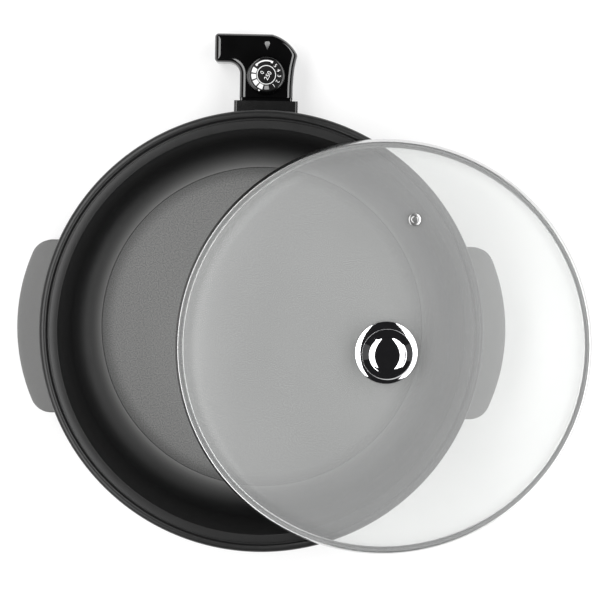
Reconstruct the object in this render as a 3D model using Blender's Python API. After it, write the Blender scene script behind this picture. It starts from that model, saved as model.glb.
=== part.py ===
"""Electric griddle pan with a glass lid and a plug-in thermostat controller.

The origin is the centre of the pan's flat cooking surface. +Z is up, along the pan's axis, and the
controller plugs in from +Y. The lid lies on the rim, slid part of the way off towards +X.
"""

import math

import bmesh
import bpy
from mathutils import Matrix, Vector

MM = 0.001
GAP = 0.3 * MM            # clearance between pieces that touch
FIT = 0.4 * MM            # clearance round pieces that are let into the pan's wall
ROUND = 40                # facets of the pan and the lid
SMALL = 12                # facets of screws, pins and bushes

# Pan
RIM_RADIUS = 210 * MM
PAN_DEPTH = 60 * MM
FLOOR = 5.5 * MM
WALL = 4.6 * MM
WALL_LEAN = math.radians(10)
BEAD_WIDTH = 7.4 * MM
BEAD_HEIGHT = 8 * MM
BEAD_ROUND = 2.6 * MM
GROOVE_WIDTH = 2.5 * MM
GROOVE_DEPTH = 2.6 * MM
LEDGE_WIDTH = 7.6 * MM
LEDGE_INNER = RIM_RADIUS - BEAD_WIDTH - GROOVE_WIDTH - LEDGE_WIDTH
EDGE_BREAK = 0.5 * MM
MOAT_DEPTH = 0.9 * MM      # the surface stands this far above the foot of the wall
COVE_RADIUS = 24 * MM
COVE_Z = COVE_RADIUS - MOAT_DEPTH
CREST_STEP = 0.62 * MM     # the wall's line stays this far inside the ledge
WALL_RISE = PAN_DEPTH - COVE_Z + COVE_RADIUS * math.sin(WALL_LEAN)
WALL_FOOT = LEDGE_INNER - CREST_STEP - WALL_RISE * math.tan(WALL_LEAN)
COVE_CENTRE = WALL_FOOT - COVE_RADIUS * math.cos(WALL_LEAN)
PLATE_RADIUS = COVE_CENTRE - 4.4 * MM  # flat cooking surface

# Cast-in heating element and the block that leads its ends and the probe to the back
ELEMENT_RADIUS = 4 * MM
ELEMENT_RING = RIM_RADIUS - 98 * MM
ELEMENT_BEND = 10 * MM
ELEMENT_Z = -10 * MM
RIB_WIDTH = 14 * MM
RIB_HEIGHT = 10.5 * MM
PIN_SPACING = 26 * MM
PIN_RADIUS = 2.5 * MM
PROBE_RADIUS = 3.25 * MM
PROBE_LENGTH = 119 * MM
PROBE_TAIL = 24 * MM       # inside the controller's neck
BLOCK_WIDTH = 56.5 * MM
BLOCK_START = ELEMENT_RING - 12 * MM
BLOCK_END = RIM_RADIUS - 42 * MM
TUBE_END = BLOCK_END + 14 * MM
SEAL_LENGTH = 4 * MM
PIN_END = TUBE_END + 28 * MM

# Guard round the terminals
GUARD_WIDTH = BLOCK_WIDTH + 5 * MM
GUARD_LOW = -20 * MM
GUARD_HIGH = 12.5 * MM
GUARD_START = BLOCK_END - 10 * MM
GUARD_END = PIN_END + 10.5 * MM
GUARD_SHEET = 1.5 * MM
GUARD_ROUND = 3 * MM
GUARD_SCREW_X = BLOCK_WIDTH / 2 - 4.5 * MM
INSULATOR_THICKNESS = 4 * MM

# Legs
LEG_CIRCLE = RIM_RADIUS - 65 * MM
LEG_TOP_RADIUS = 12.5 * MM
LEG_FOOT_RADIUS = 10 * MM
STAND_HEIGHT = 24 * MM     # from the cooking surface down to the table
PAD_THICKNESS = 1.2 * MM
PAD_PLUG = 3.5 * MM
LEG_BOSS_RADIUS = 7 * MM
LEG_BOSS_HEIGHT = 4 * MM

# Screws: (shank radius, head radius, head height)
M4 = (2 * MM, 4 * MM, 2.4 * MM)
M3 = (1.5 * MM, 3 * MM, 1.8 * MM)

# Handles
HANDLE_REACH = RIM_RADIUS + 25.5 * MM
HANDLE_LENGTH = 167 * MM
HANDLE_ARC = RIM_RADIUS - 28 * MM
HANDLE_CORNER = 20 * MM
HANDLE_TOP = 26 * MM
HANDLE_THICKNESS = 16 * MM
HANDLE_WALL = 4 * MM
HANDLE_ROUND = 2 * MM
LUG_ANGLE = math.radians(13.3)
LUG_WIDTH = 12 * MM
LUG_THICKNESS = 5 * MM
LUG_TOP = HANDLE_TOP - HANDLE_THICKNESS + 8 * MM
LUG_REACH = RIM_RADIUS + 3 * MM
LUG_SCREW_R = RIM_RADIUS - 5 * MM

# Controller
BODY_START = GUARD_END + 2 * MM
DIAL_Y = BODY_START + 22 * MM
BODY_LOW = -20.3 * MM
BODY_HIGH = 13.5 * MM
NECK_HALF = GUARD_WIDTH / 2 - 5.5 * MM
BODY_HALF = NECK_HALF + 0.3 * MM
BODY_BACK = 39.7 * MM      # from the dial's axis to the far end
BODY_SHOULDER = (BODY_HALF + 3.9 * MM, 17 * MM)
ARM_REACH = BODY_HALF + 24.4 * MM
ARM_FRONT = 12.3 * MM
ARM_FILLET = 11 * MM
ARM_CORNER = 3.6 * MM
BODY_ROUND = 3 * MM
SHELL = 2.2 * MM
PARTING_Z = -10 * MM
NECK_CLEARANCE = 0.7 * MM
NECK_ROUND = 2.4 * MM
NECK_START = TUBE_END + 8 * MM
SPRING_BOW = 3.2 * MM
SLEEVE_WALL = 0.8 * MM
PIN_WAY = PIN_RADIUS + 0.8 * MM   # holes for the pins in the neck's end
CARRIER_START = NECK_START + 9 * MM
CARRIER_THICKNESS = 7 * MM
POINTER_X = 0.4 * MM
POINTER_NEAR = 24.4 * MM
POINTER_FAR = 32.4 * MM
BUSH_RADIUS = 6 * MM
BUSH_BORE = 3.8 * MM
BUSH_Z = -3 * MM
SHELL_SCREWS = [(17.2, -12.5), (-33, 30)]  # mm from the dial's axis
HEAD_ROOM = 0.4 * MM       # round a sunk screw head
SINK_WALL = 1 * MM

# Thermostat inside the controller
STACK_START = DIAL_Y - 25.3 * MM
STACK_END = STACK_START + 10 * MM
BRACKET = 1.2 * MM
BRACKET_DROP = 7.5 * MM    # from the leaf down to the bracket
LEAF_TOP = -4 * MM
LEAF_PIVOT_Y = STACK_END + 0.8 * MM
LEAF_THICKNESS = 0.7 * MM
CONTACT_Y = LEAF_PIVOT_Y + 19 * MM
CONTACT_RADIUS = 1.7 * MM

# Dial
DIAL_RADIUS = 18.9 * MM
DIAL_TOP_RADIUS = 16.6 * MM
DIAL_HEIGHT = 10 * MM
FACE_RADIUS = 15.6 * MM
FACE_THICKNESS = 0.8 * MM
SPINDLE_RADIUS = 3 * MM

# Lid
LID_RADIUS = LEDGE_INNER + 4.2 * MM
GLASS = 4 * MM
BAND = 0.8 * MM
SHOULDER_RADIUS = 28 * MM
SHOULDER_START = math.radians(9)
SHOULDER_END = math.radians(75)
BAND_ANGLE = math.radians(14)
LID_SHIFT = 116 * MM
LID_SHIFT_ANGLE = math.radians(-5.8)
VENT_CIRCLE = 125 * MM
VENT_ANGLE = math.radians(79)
VENT_RADIUS = 5.7 * MM
VENT_HOLE = 2.2 * MM
VENT_SEAT = 0.8 * MM      # under the glass, whose facets sag a little
KNOB_RADIUS = 23.4 * MM
KNOB_CAP_RADIUS = 16.2 * MM
KNOB_HEIGHT = 17 * MM
FLANGE_RADIUS = 29 * MM
KNOB_STEM = 10.5 * MM

PAN_TOP = PAN_DEPTH
UNDERSIDE = -FLOOR
TABLE = -STAND_HEIGHT
PIN_X = PIN_SPACING / 2
SIDES = ((-1, "left"), (1, "right"))
CORNERS = ("rear_right", "rear_left", "front_left", "front_right")
BLOCK_LOW = UNDERSIDE - RIB_HEIGHT


# ---------------------------------------------------------------- tools

def clear_scene():
    for obj in list(bpy.data.objects):
        bpy.data.objects.remove(obj)


def finish(name, color, roughness, metallic=0.0):
    """A plain material: colour, roughness and metallic value."""
    material = bpy.data.materials.new(name)
    material.use_nodes = True
    shader = material.node_tree.nodes["Principled BSDF"]
    shader.inputs["Base Color"].default_value = (*color, 1.0)
    shader.inputs["Roughness"].default_value = roughness
    shader.inputs["Metallic"].default_value = metallic
    return material


def place(name, form, material, at=(0, 0, 0), turn=(0, 0, 0), parent=None):
    """Makes an object of a bmesh, with its own origin at `at`. A parent's place is taken off."""
    bmesh.ops.recalc_face_normals(form, faces=form.faces)
    mesh = bpy.data.meshes.new(name)
    form.to_mesh(mesh)
    form.free()
    obj = bpy.data.objects.new(name, mesh)
    bpy.context.scene.collection.objects.link(obj)
    if material:
        mesh.materials.append(material)
    mesh.shade_smooth()
    mesh.set_sharp_from_angle(angle=math.radians(32))
    obj.location = at
    obj.rotation_euler = turn
    if parent:
        obj.parent = parent
        obj.location = Vector(at) - parent.location
    return obj


def tool(name, form, at=(0, 0, 0), turn=(0, 0, 0)):
    """A shape that only cuts or joins: it isn't part of the object."""
    obj = place(name, form, None, at, turn)
    obj.hide_render = True
    obj.display_type = "WIRE"
    return obj


def combine(obj, operation, *tools):
    for other in tools:
        modifier = obj.modifiers.new(other.name, "BOOLEAN")
        modifier.operation = operation
        modifier.solver = "EXACT"
        modifier.object = other
    return obj


def cut(obj, *tools):
    return combine(obj, "DIFFERENCE", *tools)


def join(obj, *tools):
    return combine(obj, "UNION", *tools)


def turned(profile, facets=SMALL):
    """A solid turned about Z from a closed outline of (radius, height) points."""
    form = bmesh.new()
    points = [form.verts.new((radius, 0, height)) for radius, height in profile]
    edges = [form.edges.new((a, b)) for a, b in zip(points, points[1:] + points[:1])]
    bmesh.ops.spin(
        form, geom=points + edges, cent=(0, 0, 0), axis=(0, 0, 1), angle=2 * math.pi, steps=facets
    )
    bmesh.ops.remove_doubles(form, verts=form.verts, dist=1e-6)
    bmesh.ops.dissolve_degenerate(form, edges=form.edges, dist=1e-7)
    loose = [e for e in form.edges if len(e.link_faces) < 2]
    bmesh.ops.delete(form, geom=loose, context="EDGES")
    return form


def rod(radius, low, high, facets=SMALL, tip=0.0):
    """A plain rod along Z. `tip` chamfers its upper end."""
    end = [(radius, high - tip), (radius - tip, high)] if tip else [(radius, high)]
    return turned([(0, low), (radius, low), *end, (0, high)], facets)


def tube(bore, radius, low, high, facets=SMALL):
    return turned([(bore, low), (radius, low), (radius, high), (bore, high)], facets)


def prism(outline, low, high, round_top=0.0, round_low=0.0, steps=2):
    """An outline in X and Y, drawn up from `low` to `high`, its end edges rounded."""
    form = bmesh.new()
    face = form.faces.new([form.verts.new((x, y, low)) for x, y in outline])
    drawn = bmesh.ops.extrude_face_region(form, geom=[face])
    top = [v for v in drawn["geom"] if isinstance(v, bmesh.types.BMVert)]
    bmesh.ops.translate(form, verts=top, vec=(0, 0, high - low))
    for level, size in ((high, round_top), (low, round_low)):
        if size:
            ends = [e for e in form.edges if all(abs(v.co.z - level) < 1e-7 for v in e.verts)]
            bmesh.ops.bevel(form, geom=ends, offset=size, segments=steps, profile=0.5, affect="EDGES")
    return form


def box(low, high):
    """A box between two corners."""
    outline = [(low[0], low[1]), (high[0], low[1]), (high[0], high[1]), (low[0], high[1])]
    return prism(outline, low[2], high[2])


def merged(*forms):
    """Several forms in one mesh, each still a body of its own."""
    whole = bmesh.new()
    for form in forms:
        mesh = bpy.data.meshes.new("part_of_group")
        form.to_mesh(mesh)
        form.free()
        whole.from_mesh(mesh)
        bpy.data.meshes.remove(mesh)
    return whole


def moved(form, by=(0, 0, 0), turn=None):
    """Shifts a form, after turning it by a rotation matrix."""
    if turn:
        form.transform(turn.to_4x4())
    form.transform(Matrix.Translation(by))
    return form


ALONG_Y = Matrix.Rotation(math.radians(-90), 3, "X")    # turns +Z to +Y
ALONG_BACK = Matrix.Rotation(math.radians(90), 3, "X")  # turns +Z to -Y
ALONG_X = Matrix.Rotation(math.radians(90), 3, "Y")     # turns +Z to +X


def arc(centre, radius, start, end, steps):
    """Points on an arc, from angle `start` to `end` in radians, both ends included."""
    turns = [start + (end - start) * i / steps for i in range(steps + 1)]
    return [(centre[0] + radius * math.cos(t), centre[1] + radius * math.sin(t)) for t in turns]


def bowed(start, end, rise, steps):
    """Points on the arc from start to end that bows out by `rise` to the right of the way."""
    a, b = Vector(start), Vector(end)
    half = (b - a).length / 2
    radius = (half * half + rise * rise) / (2 * rise)
    along = (b - a).normalized()
    right = Vector((along.y, -along.x))
    centre = (a + b) / 2 - right * (radius - rise)
    reach = math.asin(half / radius)
    points = []
    for i in range(steps + 1):
        t = -reach + 2 * reach * i / steps
        points.append(tuple(centre + right * radius * math.cos(t) + along * radius * math.sin(t)))
    return points


def rounded(corners, steps=3):
    """An outline of (x, y, corner radius) corners, each corner swept as an arc."""
    outline = []
    for i, (x, y, radius) in enumerate(corners):
        here = Vector((x, y))
        if not radius:
            outline.append((x, y))
            continue
        back = (Vector(corners[i - 1][:2]) - here).normalized()
        on = (Vector(corners[(i + 1) % len(corners)][:2]) - here).normalized()
        half = back.angle(on) / 2
        centre = here + (back + on).normalized() * radius / math.sin(half)
        first = here + back * radius / math.tan(half) - centre
        last = here + on * radius / math.tan(half) - centre
        sweep = first.angle_signed(last)
        for k in range(steps + 1):
            spoke = first.copy()
            spoke.rotate(Matrix.Rotation(-sweep * k / steps, 2))
            outline.append(tuple(centre + spoke))
    return outline


def add_screws(name, words, size, length, spots, material, parent=None):
    """One screw at each spot, the seat under its head. The heads face down."""
    shank, head, height = size
    profile = [(0, -height), (head, -height), (head, 0), (shank, 0), (shank, length), (0, length)]
    for word, spot in zip(words, spots):
        place(f"{name}_{word}", turned(profile, 8), material, spot, parent=parent)


def joint(name, at):
    """An empty on a joint's axis. What moves with the joint is parented to it."""
    empty = bpy.data.objects.new(name, None)
    empty.location = at
    bpy.context.scene.collection.objects.link(empty)
    return empty


# ---------------------------------------------------------------- pan

def wall_inner_at(height):
    """Radius of the pan's inner wall at a height above the cove."""
    return WALL_FOOT + (height - PAN_DEPTH + WALL_RISE) * math.tan(WALL_LEAN)


def outer_profile(grow):
    """The pan's outside from the underside up to below the bead, grown by a clearance."""
    radius = COVE_Z + FLOOR + grow
    cove = arc((COVE_CENTRE, COVE_Z), radius, math.radians(-90), -WALL_LEAN, 4)
    top = PAN_TOP - BEAD_HEIGHT
    return cove + [(wall_inner_at(top) + WALL + grow, top)]


def pan_profile():
    top = PAN_TOP
    ledge_outer = LEDGE_INNER + LEDGE_WIDTH
    bead_inner = RIM_RADIUS - BEAD_WIDTH
    cove = arc((COVE_CENTRE, COVE_Z), COVE_RADIUS, math.radians(-90), -WALL_LEAN, 4)
    rib_in = ELEMENT_RING - RIB_WIDTH / 2
    rib_out = ELEMENT_RING + RIB_WIDTH / 2
    inside = [(0, 0), (PLATE_RADIUS, 0), (PLATE_RADIUS + MOAT_DEPTH, -MOAT_DEPTH), *cove]
    rim = [
        (LEDGE_INNER - EDGE_BREAK, top - EDGE_BREAK * 2),
        (LEDGE_INNER + EDGE_BREAK, top),
        (ledge_outer, top),
        (ledge_outer, top - GROOVE_DEPTH),
        (bead_inner, top - GROOVE_DEPTH),
        (bead_inner, top - EDGE_BREAK),
        (bead_inner + EDGE_BREAK, top),
        *arc((RIM_RADIUS - BEAD_ROUND, top - BEAD_ROUND), BEAD_ROUND, math.radians(90), 0, 2),
        (RIM_RADIUS, top - BEAD_HEIGHT + EDGE_BREAK),
        (RIM_RADIUS - EDGE_BREAK, top - BEAD_HEIGHT),
    ]
    outside = outer_profile(0)[::-1]
    under = [
        (rib_out, UNDERSIDE),
        (rib_out - EDGE_BREAK * 2, BLOCK_LOW),
        (rib_in + EDGE_BREAK * 2, BLOCK_LOW),
        (rib_in, UNDERSIDE),
        (0, UNDERSIDE),
    ]
    return inside + rim + outside + under


def element_path(end):
    """The heating element's line: in from the back, round the ring and out again."""
    bend_x = PIN_X + ELEMENT_BEND
    bend_y = math.sqrt((ELEMENT_RING + ELEMENT_BEND) ** 2 - bend_x**2)
    meet = math.atan2(bend_y, bend_x)
    right = [(PIN_X, end), (PIN_X, (end + bend_y) / 2)]
    right += arc((bend_x, bend_y), ELEMENT_BEND, math.pi, math.pi + meet, 4)
    ring = arc((0, 0), ELEMENT_RING, meet, -math.pi - meet, 36)[1:-1]
    left = [(-x, y) for x, y in reversed(right)]
    return [(x, y, ELEMENT_Z) for x, y in right + ring + left]


def swept(name, path, radius):
    """A round bar along a path, as a mesh."""
    curve = bpy.data.curves.new(name, "CURVE")
    curve.dimensions = "3D"
    curve.bevel_depth = radius
    curve.bevel_resolution = 1
    curve.use_fill_caps = True
    spline = curve.splines.new("POLY")
    spline.points.add(len(path) - 1)
    for point, spot in zip(spline.points, path):
        point.co = (*spot, 1)
    guide = bpy.data.objects.new(name, curve)
    form = bmesh.new()
    form.from_mesh(guide.to_mesh())
    bmesh.ops.remove_doubles(form, verts=form.verts, dist=1e-6)
    guide.to_mesh_clear()
    bpy.data.objects.remove(guide)
    return form


def leg_spots():
    turns = [math.radians(45 + 90 * i) for i in range(4)]
    return [(LEG_CIRCLE * math.cos(t), LEG_CIRCLE * math.sin(t)) for t in turns]


def lug_turns():
    return [side + sign * LUG_ANGLE for side in (0, math.pi) for sign in (1, -1)]


def lug_form(grow):
    """A lug on +X, from inside the pan's wall outwards."""
    start = wall_inner_at(LUG_TOP) + WALL * 0.4
    half = LUG_WIDTH / 2 + grow
    return box((start, -half, LUG_TOP - LUG_THICKNESS - grow), (LUG_REACH + grow, half, LUG_TOP + grow))


def make_pan(cast):
    pan = place("pan", turned(pan_profile(), ROUND), cast)
    half = BLOCK_WIDTH / 2
    block = box((-half, BLOCK_START, BLOCK_LOW), (half, BLOCK_END, UNDERSIDE + 2 * MM))
    join(pan, tool("terminal_block", block))
    boss_low = UNDERSIDE - LEG_BOSS_HEIGHT
    for i, (x, y) in enumerate(leg_spots()):
        boss = rod(LEG_BOSS_RADIUS, boss_low, UNDERSIDE + 1.5 * MM)
        join(pan, tool(f"leg_boss_{i}", boss, (x, y, 0)))
        hole = rod(M4[0] + GAP, boss_low - 1 * MM, -2.2 * MM, 12)
        cut(pan, tool(f"leg_hole_{i}", hole, (x, y, 0)))
    for i, turn in enumerate(lug_turns()):
        join(pan, tool(f"lug_{i}", lug_form(0), turn=(0, 0, turn)))
        spot = (LUG_SCREW_R * math.cos(turn), LUG_SCREW_R * math.sin(turn), 0)
        hole = rod(M4[0] + GAP, LUG_TOP - LUG_THICKNESS - 2 * MM, LUG_TOP + 2 * MM)
        cut(pan, tool(f"lug_hole_{i}", hole, spot))
    tunnel = swept("element_tunnel", element_path(BLOCK_END + 5 * MM), ELEMENT_RADIUS + GAP)
    cut(pan, tool("element_tunnel", tunnel))
    probe_tip = NECK_START - PROBE_LENGTH + PROBE_TAIL
    bore = rod(PROBE_RADIUS + FIT, probe_tip - 2 * MM, BLOCK_END + 5 * MM)
    cut(pan, tool("probe_bore", moved(bore, (0, 0, ELEMENT_Z), ALONG_Y)))
    for side in (-1, 1):
        hole = rod(M3[0] + GAP, BLOCK_LOW - 2 * MM, ELEMENT_Z + 2 * MM)
        spot = (side * GUARD_SCREW_X, guard_screw_y(), 0)
        cut(pan, tool(f"guard_hole_{side}", hole, spot))
    return pan


def make_element(steel, ceramic):
    place("heating_element", swept("heating_element", element_path(TUBE_END), ELEMENT_RADIUS), steel)
    seal = TUBE_END + GAP
    for side, word in SIDES:
        collar = tube(PIN_RADIUS + GAP, ELEMENT_RADIUS, seal, seal + SEAL_LENGTH)
        at = (side * PIN_X, 0, ELEMENT_Z)
        place(f"element_end_seal_{word}", moved(collar, turn=ALONG_Y), ceramic, at)
        pin = rod(PIN_RADIUS, seal, PIN_END, tip=1 * MM)
        place(f"terminal_pin_{word}", moved(pin, turn=ALONG_Y), steel, at)


# ---------------------------------------------------------------- terminal guard

def guard_screw_y():
    return (GUARD_START + BLOCK_END) / 2


def envelope():
    """The pan's outside grown by the fitting clearance, to cut what is let in round it."""
    outside = outer_profile(FIT)
    top = PAN_TOP + 20 * MM
    profile = [(0, UNDERSIDE - FIT), *outside, (outside[-1][0], top), (0, top)]
    return turned(profile, ROUND)


def guard_outline(inset):
    """The guard's section, in X and Z."""
    corner = max(GUARD_ROUND - inset, 0.8 * MM)
    return section(GUARD_WIDTH / 2 - inset, GUARD_LOW + inset, GUARD_HIGH - inset, corner, 3)


def section(half, low, high, corner, steps):
    """A rounded rectangle in X and Z, as wide to the left as to the right."""
    corners = [(-half, low), (half, low), (half, high), (-half, high)]
    return rounded([(x, z, corner) for x, z in corners], steps)


def upright(outline, start, end):
    """A section in X and Z drawn along +Y."""
    form = prism([(x, -z) for x, z in outline], start, end)
    return moved(form, (0, 0, 0), ALONG_Y)


def make_guard(painted, ceramic, steel):
    guard = place("terminal_guard", upright(guard_outline(0), GUARD_START, GUARD_END), painted)
    hollow = upright(guard_outline(GUARD_SHEET), GUARD_START - 5 * MM, GUARD_END + 5 * MM)
    cut(guard, tool("guard_hollow", hollow), tool("guard_envelope", envelope()))
    spots = [(side * GUARD_SCREW_X, guard_screw_y(), GUARD_LOW - GAP) for side, _ in SIDES]
    hole = rod(M3[0] + GAP, -3 * MM, 3 * MM)
    cut(guard, tool("guard_screw_holes", merged(*[moved(hole.copy(), spot) for spot in spots])))
    hole.free()
    add_screws("guard_screw", ("left", "right"), M3, ELEMENT_Z - GUARD_LOW + GAP, spots, steel)
    start = BLOCK_END + GAP
    inset = GUARD_SHEET + GAP
    plate = place(
        "terminal_insulator", upright(guard_outline(inset), start, start + INSULATOR_THICKNESS), ceramic
    )
    cut(plate, tool("insulator_envelope", envelope()))
    tube_way, probe_way = ELEMENT_RADIUS + GAP, PROBE_RADIUS + FIT
    end = start + INSULATOR_THICKNESS
    for i, (x, radius) in enumerate(((-PIN_X, tube_way), (0, probe_way), (PIN_X, tube_way))):
        hole = rod(radius, start - 3 * MM, end + 3 * MM)
        cut(plate, tool(f"insulator_hole_{i}", moved(hole, (x, 0, ELEMENT_Z), ALONG_Y)))


# ---------------------------------------------------------------- legs

def make_legs(bakelite, rubber, steel):
    top = UNDERSIDE - GAP
    foot = TABLE + PAD_THICKNESS + GAP
    seat = top - LEG_BOSS_HEIGHT - 0.4 * MM
    head_seat = seat - 5.5 * MM
    recess = LEG_BOSS_RADIUS + GAP + 0.2 * MM
    bore = M4[0] + GAP
    leg = [
        (recess, top),
        (LEG_TOP_RADIUS, top),
        (LEG_TOP_RADIUS - 0.8 * MM, top - 6 * MM),
        (LEG_FOOT_RADIUS, foot + 0.8 * MM),
        (LEG_FOOT_RADIUS - 0.8 * MM, foot),
        (recess, foot),
        (recess, head_seat),
        (bore, head_seat),
        (bore, seat),
        (recess, seat),
    ]
    plug = recess - GAP
    pad_top = TABLE + PAD_THICKNESS
    pad = [
        (0, TABLE),
        (LEG_FOOT_RADIUS - 1.2 * MM, TABLE),
        (LEG_FOOT_RADIUS - 0.4 * MM, pad_top),
        (plug, pad_top),
        (plug, pad_top + PAD_PLUG),
        (0, pad_top + PAD_PLUG),
    ]
    for name, (x, y) in zip(CORNERS, leg_spots()):
        place(f"leg_{name}", turned(leg), bakelite, (x, y, 0))
        place(f"foot_pad_{name}", turned(pad), rubber, (x, y, 0))
    spots = [(x, y, head_seat - GAP) for x, y in leg_spots()]
    add_screws("leg_screw", CORNERS, M4, -3.4 * MM - head_seat, spots, steel)


# ---------------------------------------------------------------- handles

def handle_outline(inset):
    """Plan of the right handle: a bowed outer edge between two round corners."""
    half = HANDLE_LENGTH / 2 - inset
    reach = HANDLE_REACH - inset
    arc_radius = HANDLE_ARC - inset
    corner = HANDLE_CORNER - inset
    mid = (reach - arc_radius, 0)
    # the corner's centre lies `corner` inside both the bowed edge and the straight end
    centre_y = half - corner
    centre_x = mid[0] + math.sqrt((arc_radius - corner) ** 2 - centre_y**2)
    turn = math.atan2(centre_y, centre_x - mid[0])
    inner = LEDGE_INNER - 30 * MM
    upper = arc((centre_x, centre_y), corner, turn, math.radians(90), 4)
    edge = arc(mid, arc_radius, -turn, turn, 10)[1:-1]
    lower = [(x, -y) for x, y in reversed(upper)]
    return [(inner, -half), *lower, *edge, *upper, (inner, half)]


def make_handle(name, side, plastic):
    low = HANDLE_TOP - HANDLE_THICKNESS
    turn = (0, 0, 0 if side > 0 else math.pi)
    grip = prism(handle_outline(0), low, HANDLE_TOP, round_top=HANDLE_ROUND, round_low=1 * MM)
    handle = place(name, grip, plastic, turn=turn)
    cut(handle, tool(f"{name}_envelope", envelope()))
    cut(handle, grip_hollow(name, low, turn))
    for i, angle in enumerate((LUG_ANGLE, -LUG_ANGLE)):
        spin = angle + turn[2]
        spot = (LUG_SCREW_R * math.cos(spin), LUG_SCREW_R * math.sin(spin), 0)
        boss = rod(5 * MM, LUG_TOP + GAP, HANDLE_TOP - HANDLE_WALL + 1 * MM)
        join(handle, tool(f"{name}_boss_{i}", boss, spot))
        cut(handle, tool(f"{name}_notch_{i}", lug_form(GAP), turn=(0, 0, spin)))
        hole = rod(M4[0] + GAP, LUG_TOP - 2 * MM, HANDLE_TOP - 2 * MM)
        cut(handle, tool(f"{name}_hole_{i}", hole, spot))
    return handle


def grip_hollow(name, low, turn):
    """The hollow under a grip: its plan inset by the wall, kept a wall's width off the pan."""
    inset = prism(handle_outline(HANDLE_WALL), low - 5 * MM, HANDLE_TOP - HANDLE_WALL)
    hollow = tool(f"{name}_hollow", inset, turn=turn)
    outside = outer_profile(FIT + HANDLE_WALL)
    below = UNDERSIDE - 20 * MM
    keep = [(0, below), (outside[0][0], below), *outside[1:], (0, outside[-1][1])]
    cut(hollow, tool(f"{name}_inner_wall", turned(keep, ROUND)))
    return hollow


def make_handles(plastic, steel):
    make_handle("right_handle", 1, plastic)
    make_handle("left_handle", -1, plastic)
    seat = LUG_TOP - LUG_THICKNESS - GAP
    spots = [(LUG_SCREW_R * math.cos(t), LUG_SCREW_R * math.sin(t), seat) for t in lug_turns()]
    words = ("right_rear", "right_front", "left_front", "left_rear")
    add_screws("handle_screw", words, M4, HANDLE_TOP - 3 * MM - seat, spots, steel)


# ---------------------------------------------------------------- controller

def body_outline(inset):
    """The controller's plan round the dial's axis, its wall inset."""
    half = BODY_HALF - inset
    start = BODY_START - DIAL_Y + inset
    back = BODY_BACK - inset
    shoulder = (BODY_SHOULDER[0] - inset, BODY_SHOULDER[1])
    corner = max(ARM_CORNER - inset, 0.6 * MM)
    arm = -ARM_REACH + inset
    front = ARM_FRONT + inset
    crown_start = (BODY_SHOULDER[0] - inset * 0.8, BODY_SHOULDER[1] + 3 * MM)
    crown_end = (5 * MM, back)
    crown = bowed(crown_start, crown_end, 2.4 * MM, 5)
    corners = [
        (arm, back, corner),
        (arm, front, corner),
        (-half, front, ARM_FILLET + inset),
        (-half, start, 0),
        (half, start, 0),
        (*crown_end, 0),
    ]
    left = rounded(corners, 4)[:-2]
    right = [(half, start), (half + 0.6 * MM, 0), shoulder]
    return right + crown + left


def neck_outline(inset):
    """The neck's section in X and Z, a loose fit in the guard."""
    shrink = GUARD_SHEET + NECK_CLEARANCE + inset
    corner = max(NECK_ROUND - inset, 0.3 * MM)
    return section(NECK_HALF - inset, GUARD_LOW + shrink, GUARD_HIGH - shrink, corner, 2)


def make_shell(name, upper, plastic, parent):
    """One half of the controller's casing. Both halves come from the same form."""
    at = (0, DIAL_Y, 0)
    outline = body_outline(0)
    body = prism(outline, BODY_LOW, BODY_HIGH, round_top=BODY_ROUND, round_low=BODY_ROUND * 0.6)
    shell = place(name, body, plastic, at, parent=parent)
    neck_end = BODY_START + SHELL + 2 * MM
    join(shell, tool(f"{name}_neck", upright(neck_outline(0), NECK_START, neck_end)))
    inner = prism(body_outline(SHELL), BODY_LOW + SHELL, BODY_HIGH - SHELL)
    cut(shell, tool(f"{name}_inside", inner, at))
    neck_inner = upright(neck_outline(SHELL), NECK_START + SHELL, neck_end + 1 * MM)
    cut(shell, tool(f"{name}_neck_inside", neck_inner))
    near, far, side = NECK_START - 50 * MM, DIAL_Y + BODY_BACK + 50 * MM, ARM_REACH * 2
    if upper:
        other_half = box((-side, near, BODY_LOW - side), (side, far, PARTING_Z + GAP / 2))
    else:
        other_half = box((-side, near, PARTING_Z - GAP / 2), (side, far, BODY_HIGH + side))
    cut(shell, tool(f"{name}_other_half", other_half))
    join(shell, tool(f"{name}_posts", shell_posts(upper), at))
    cut(shell, tool(f"{name}_holes", shell_holes(upper), at))


def shell_posts(upper):
    """Screw posts from floor to roof, and in the lower half the two that carry the thermostat."""
    if upper:
        low, high = PARTING_Z + GAP / 2, BODY_HIGH - SHELL + 0.5 * MM
    else:
        low, high = BODY_LOW + SHELL - 0.5 * MM, PARTING_Z - GAP / 2
    radius = M3[1] + (0 if upper else HEAD_ROOM + SINK_WALL)
    posts = [moved(rod(radius, low, high), (x * MM, y * MM, 0)) for x, y in SHELL_SCREWS]
    if not upper:
        y = STACK_END + 21 * MM - DIAL_Y
        top = bracket_low() - GAP
        posts += [moved(rod(2 * MM, low, top), (side * 4.5 * MM, y, 0)) for side in (-1, 1)]
    return merged(*posts)


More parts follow.
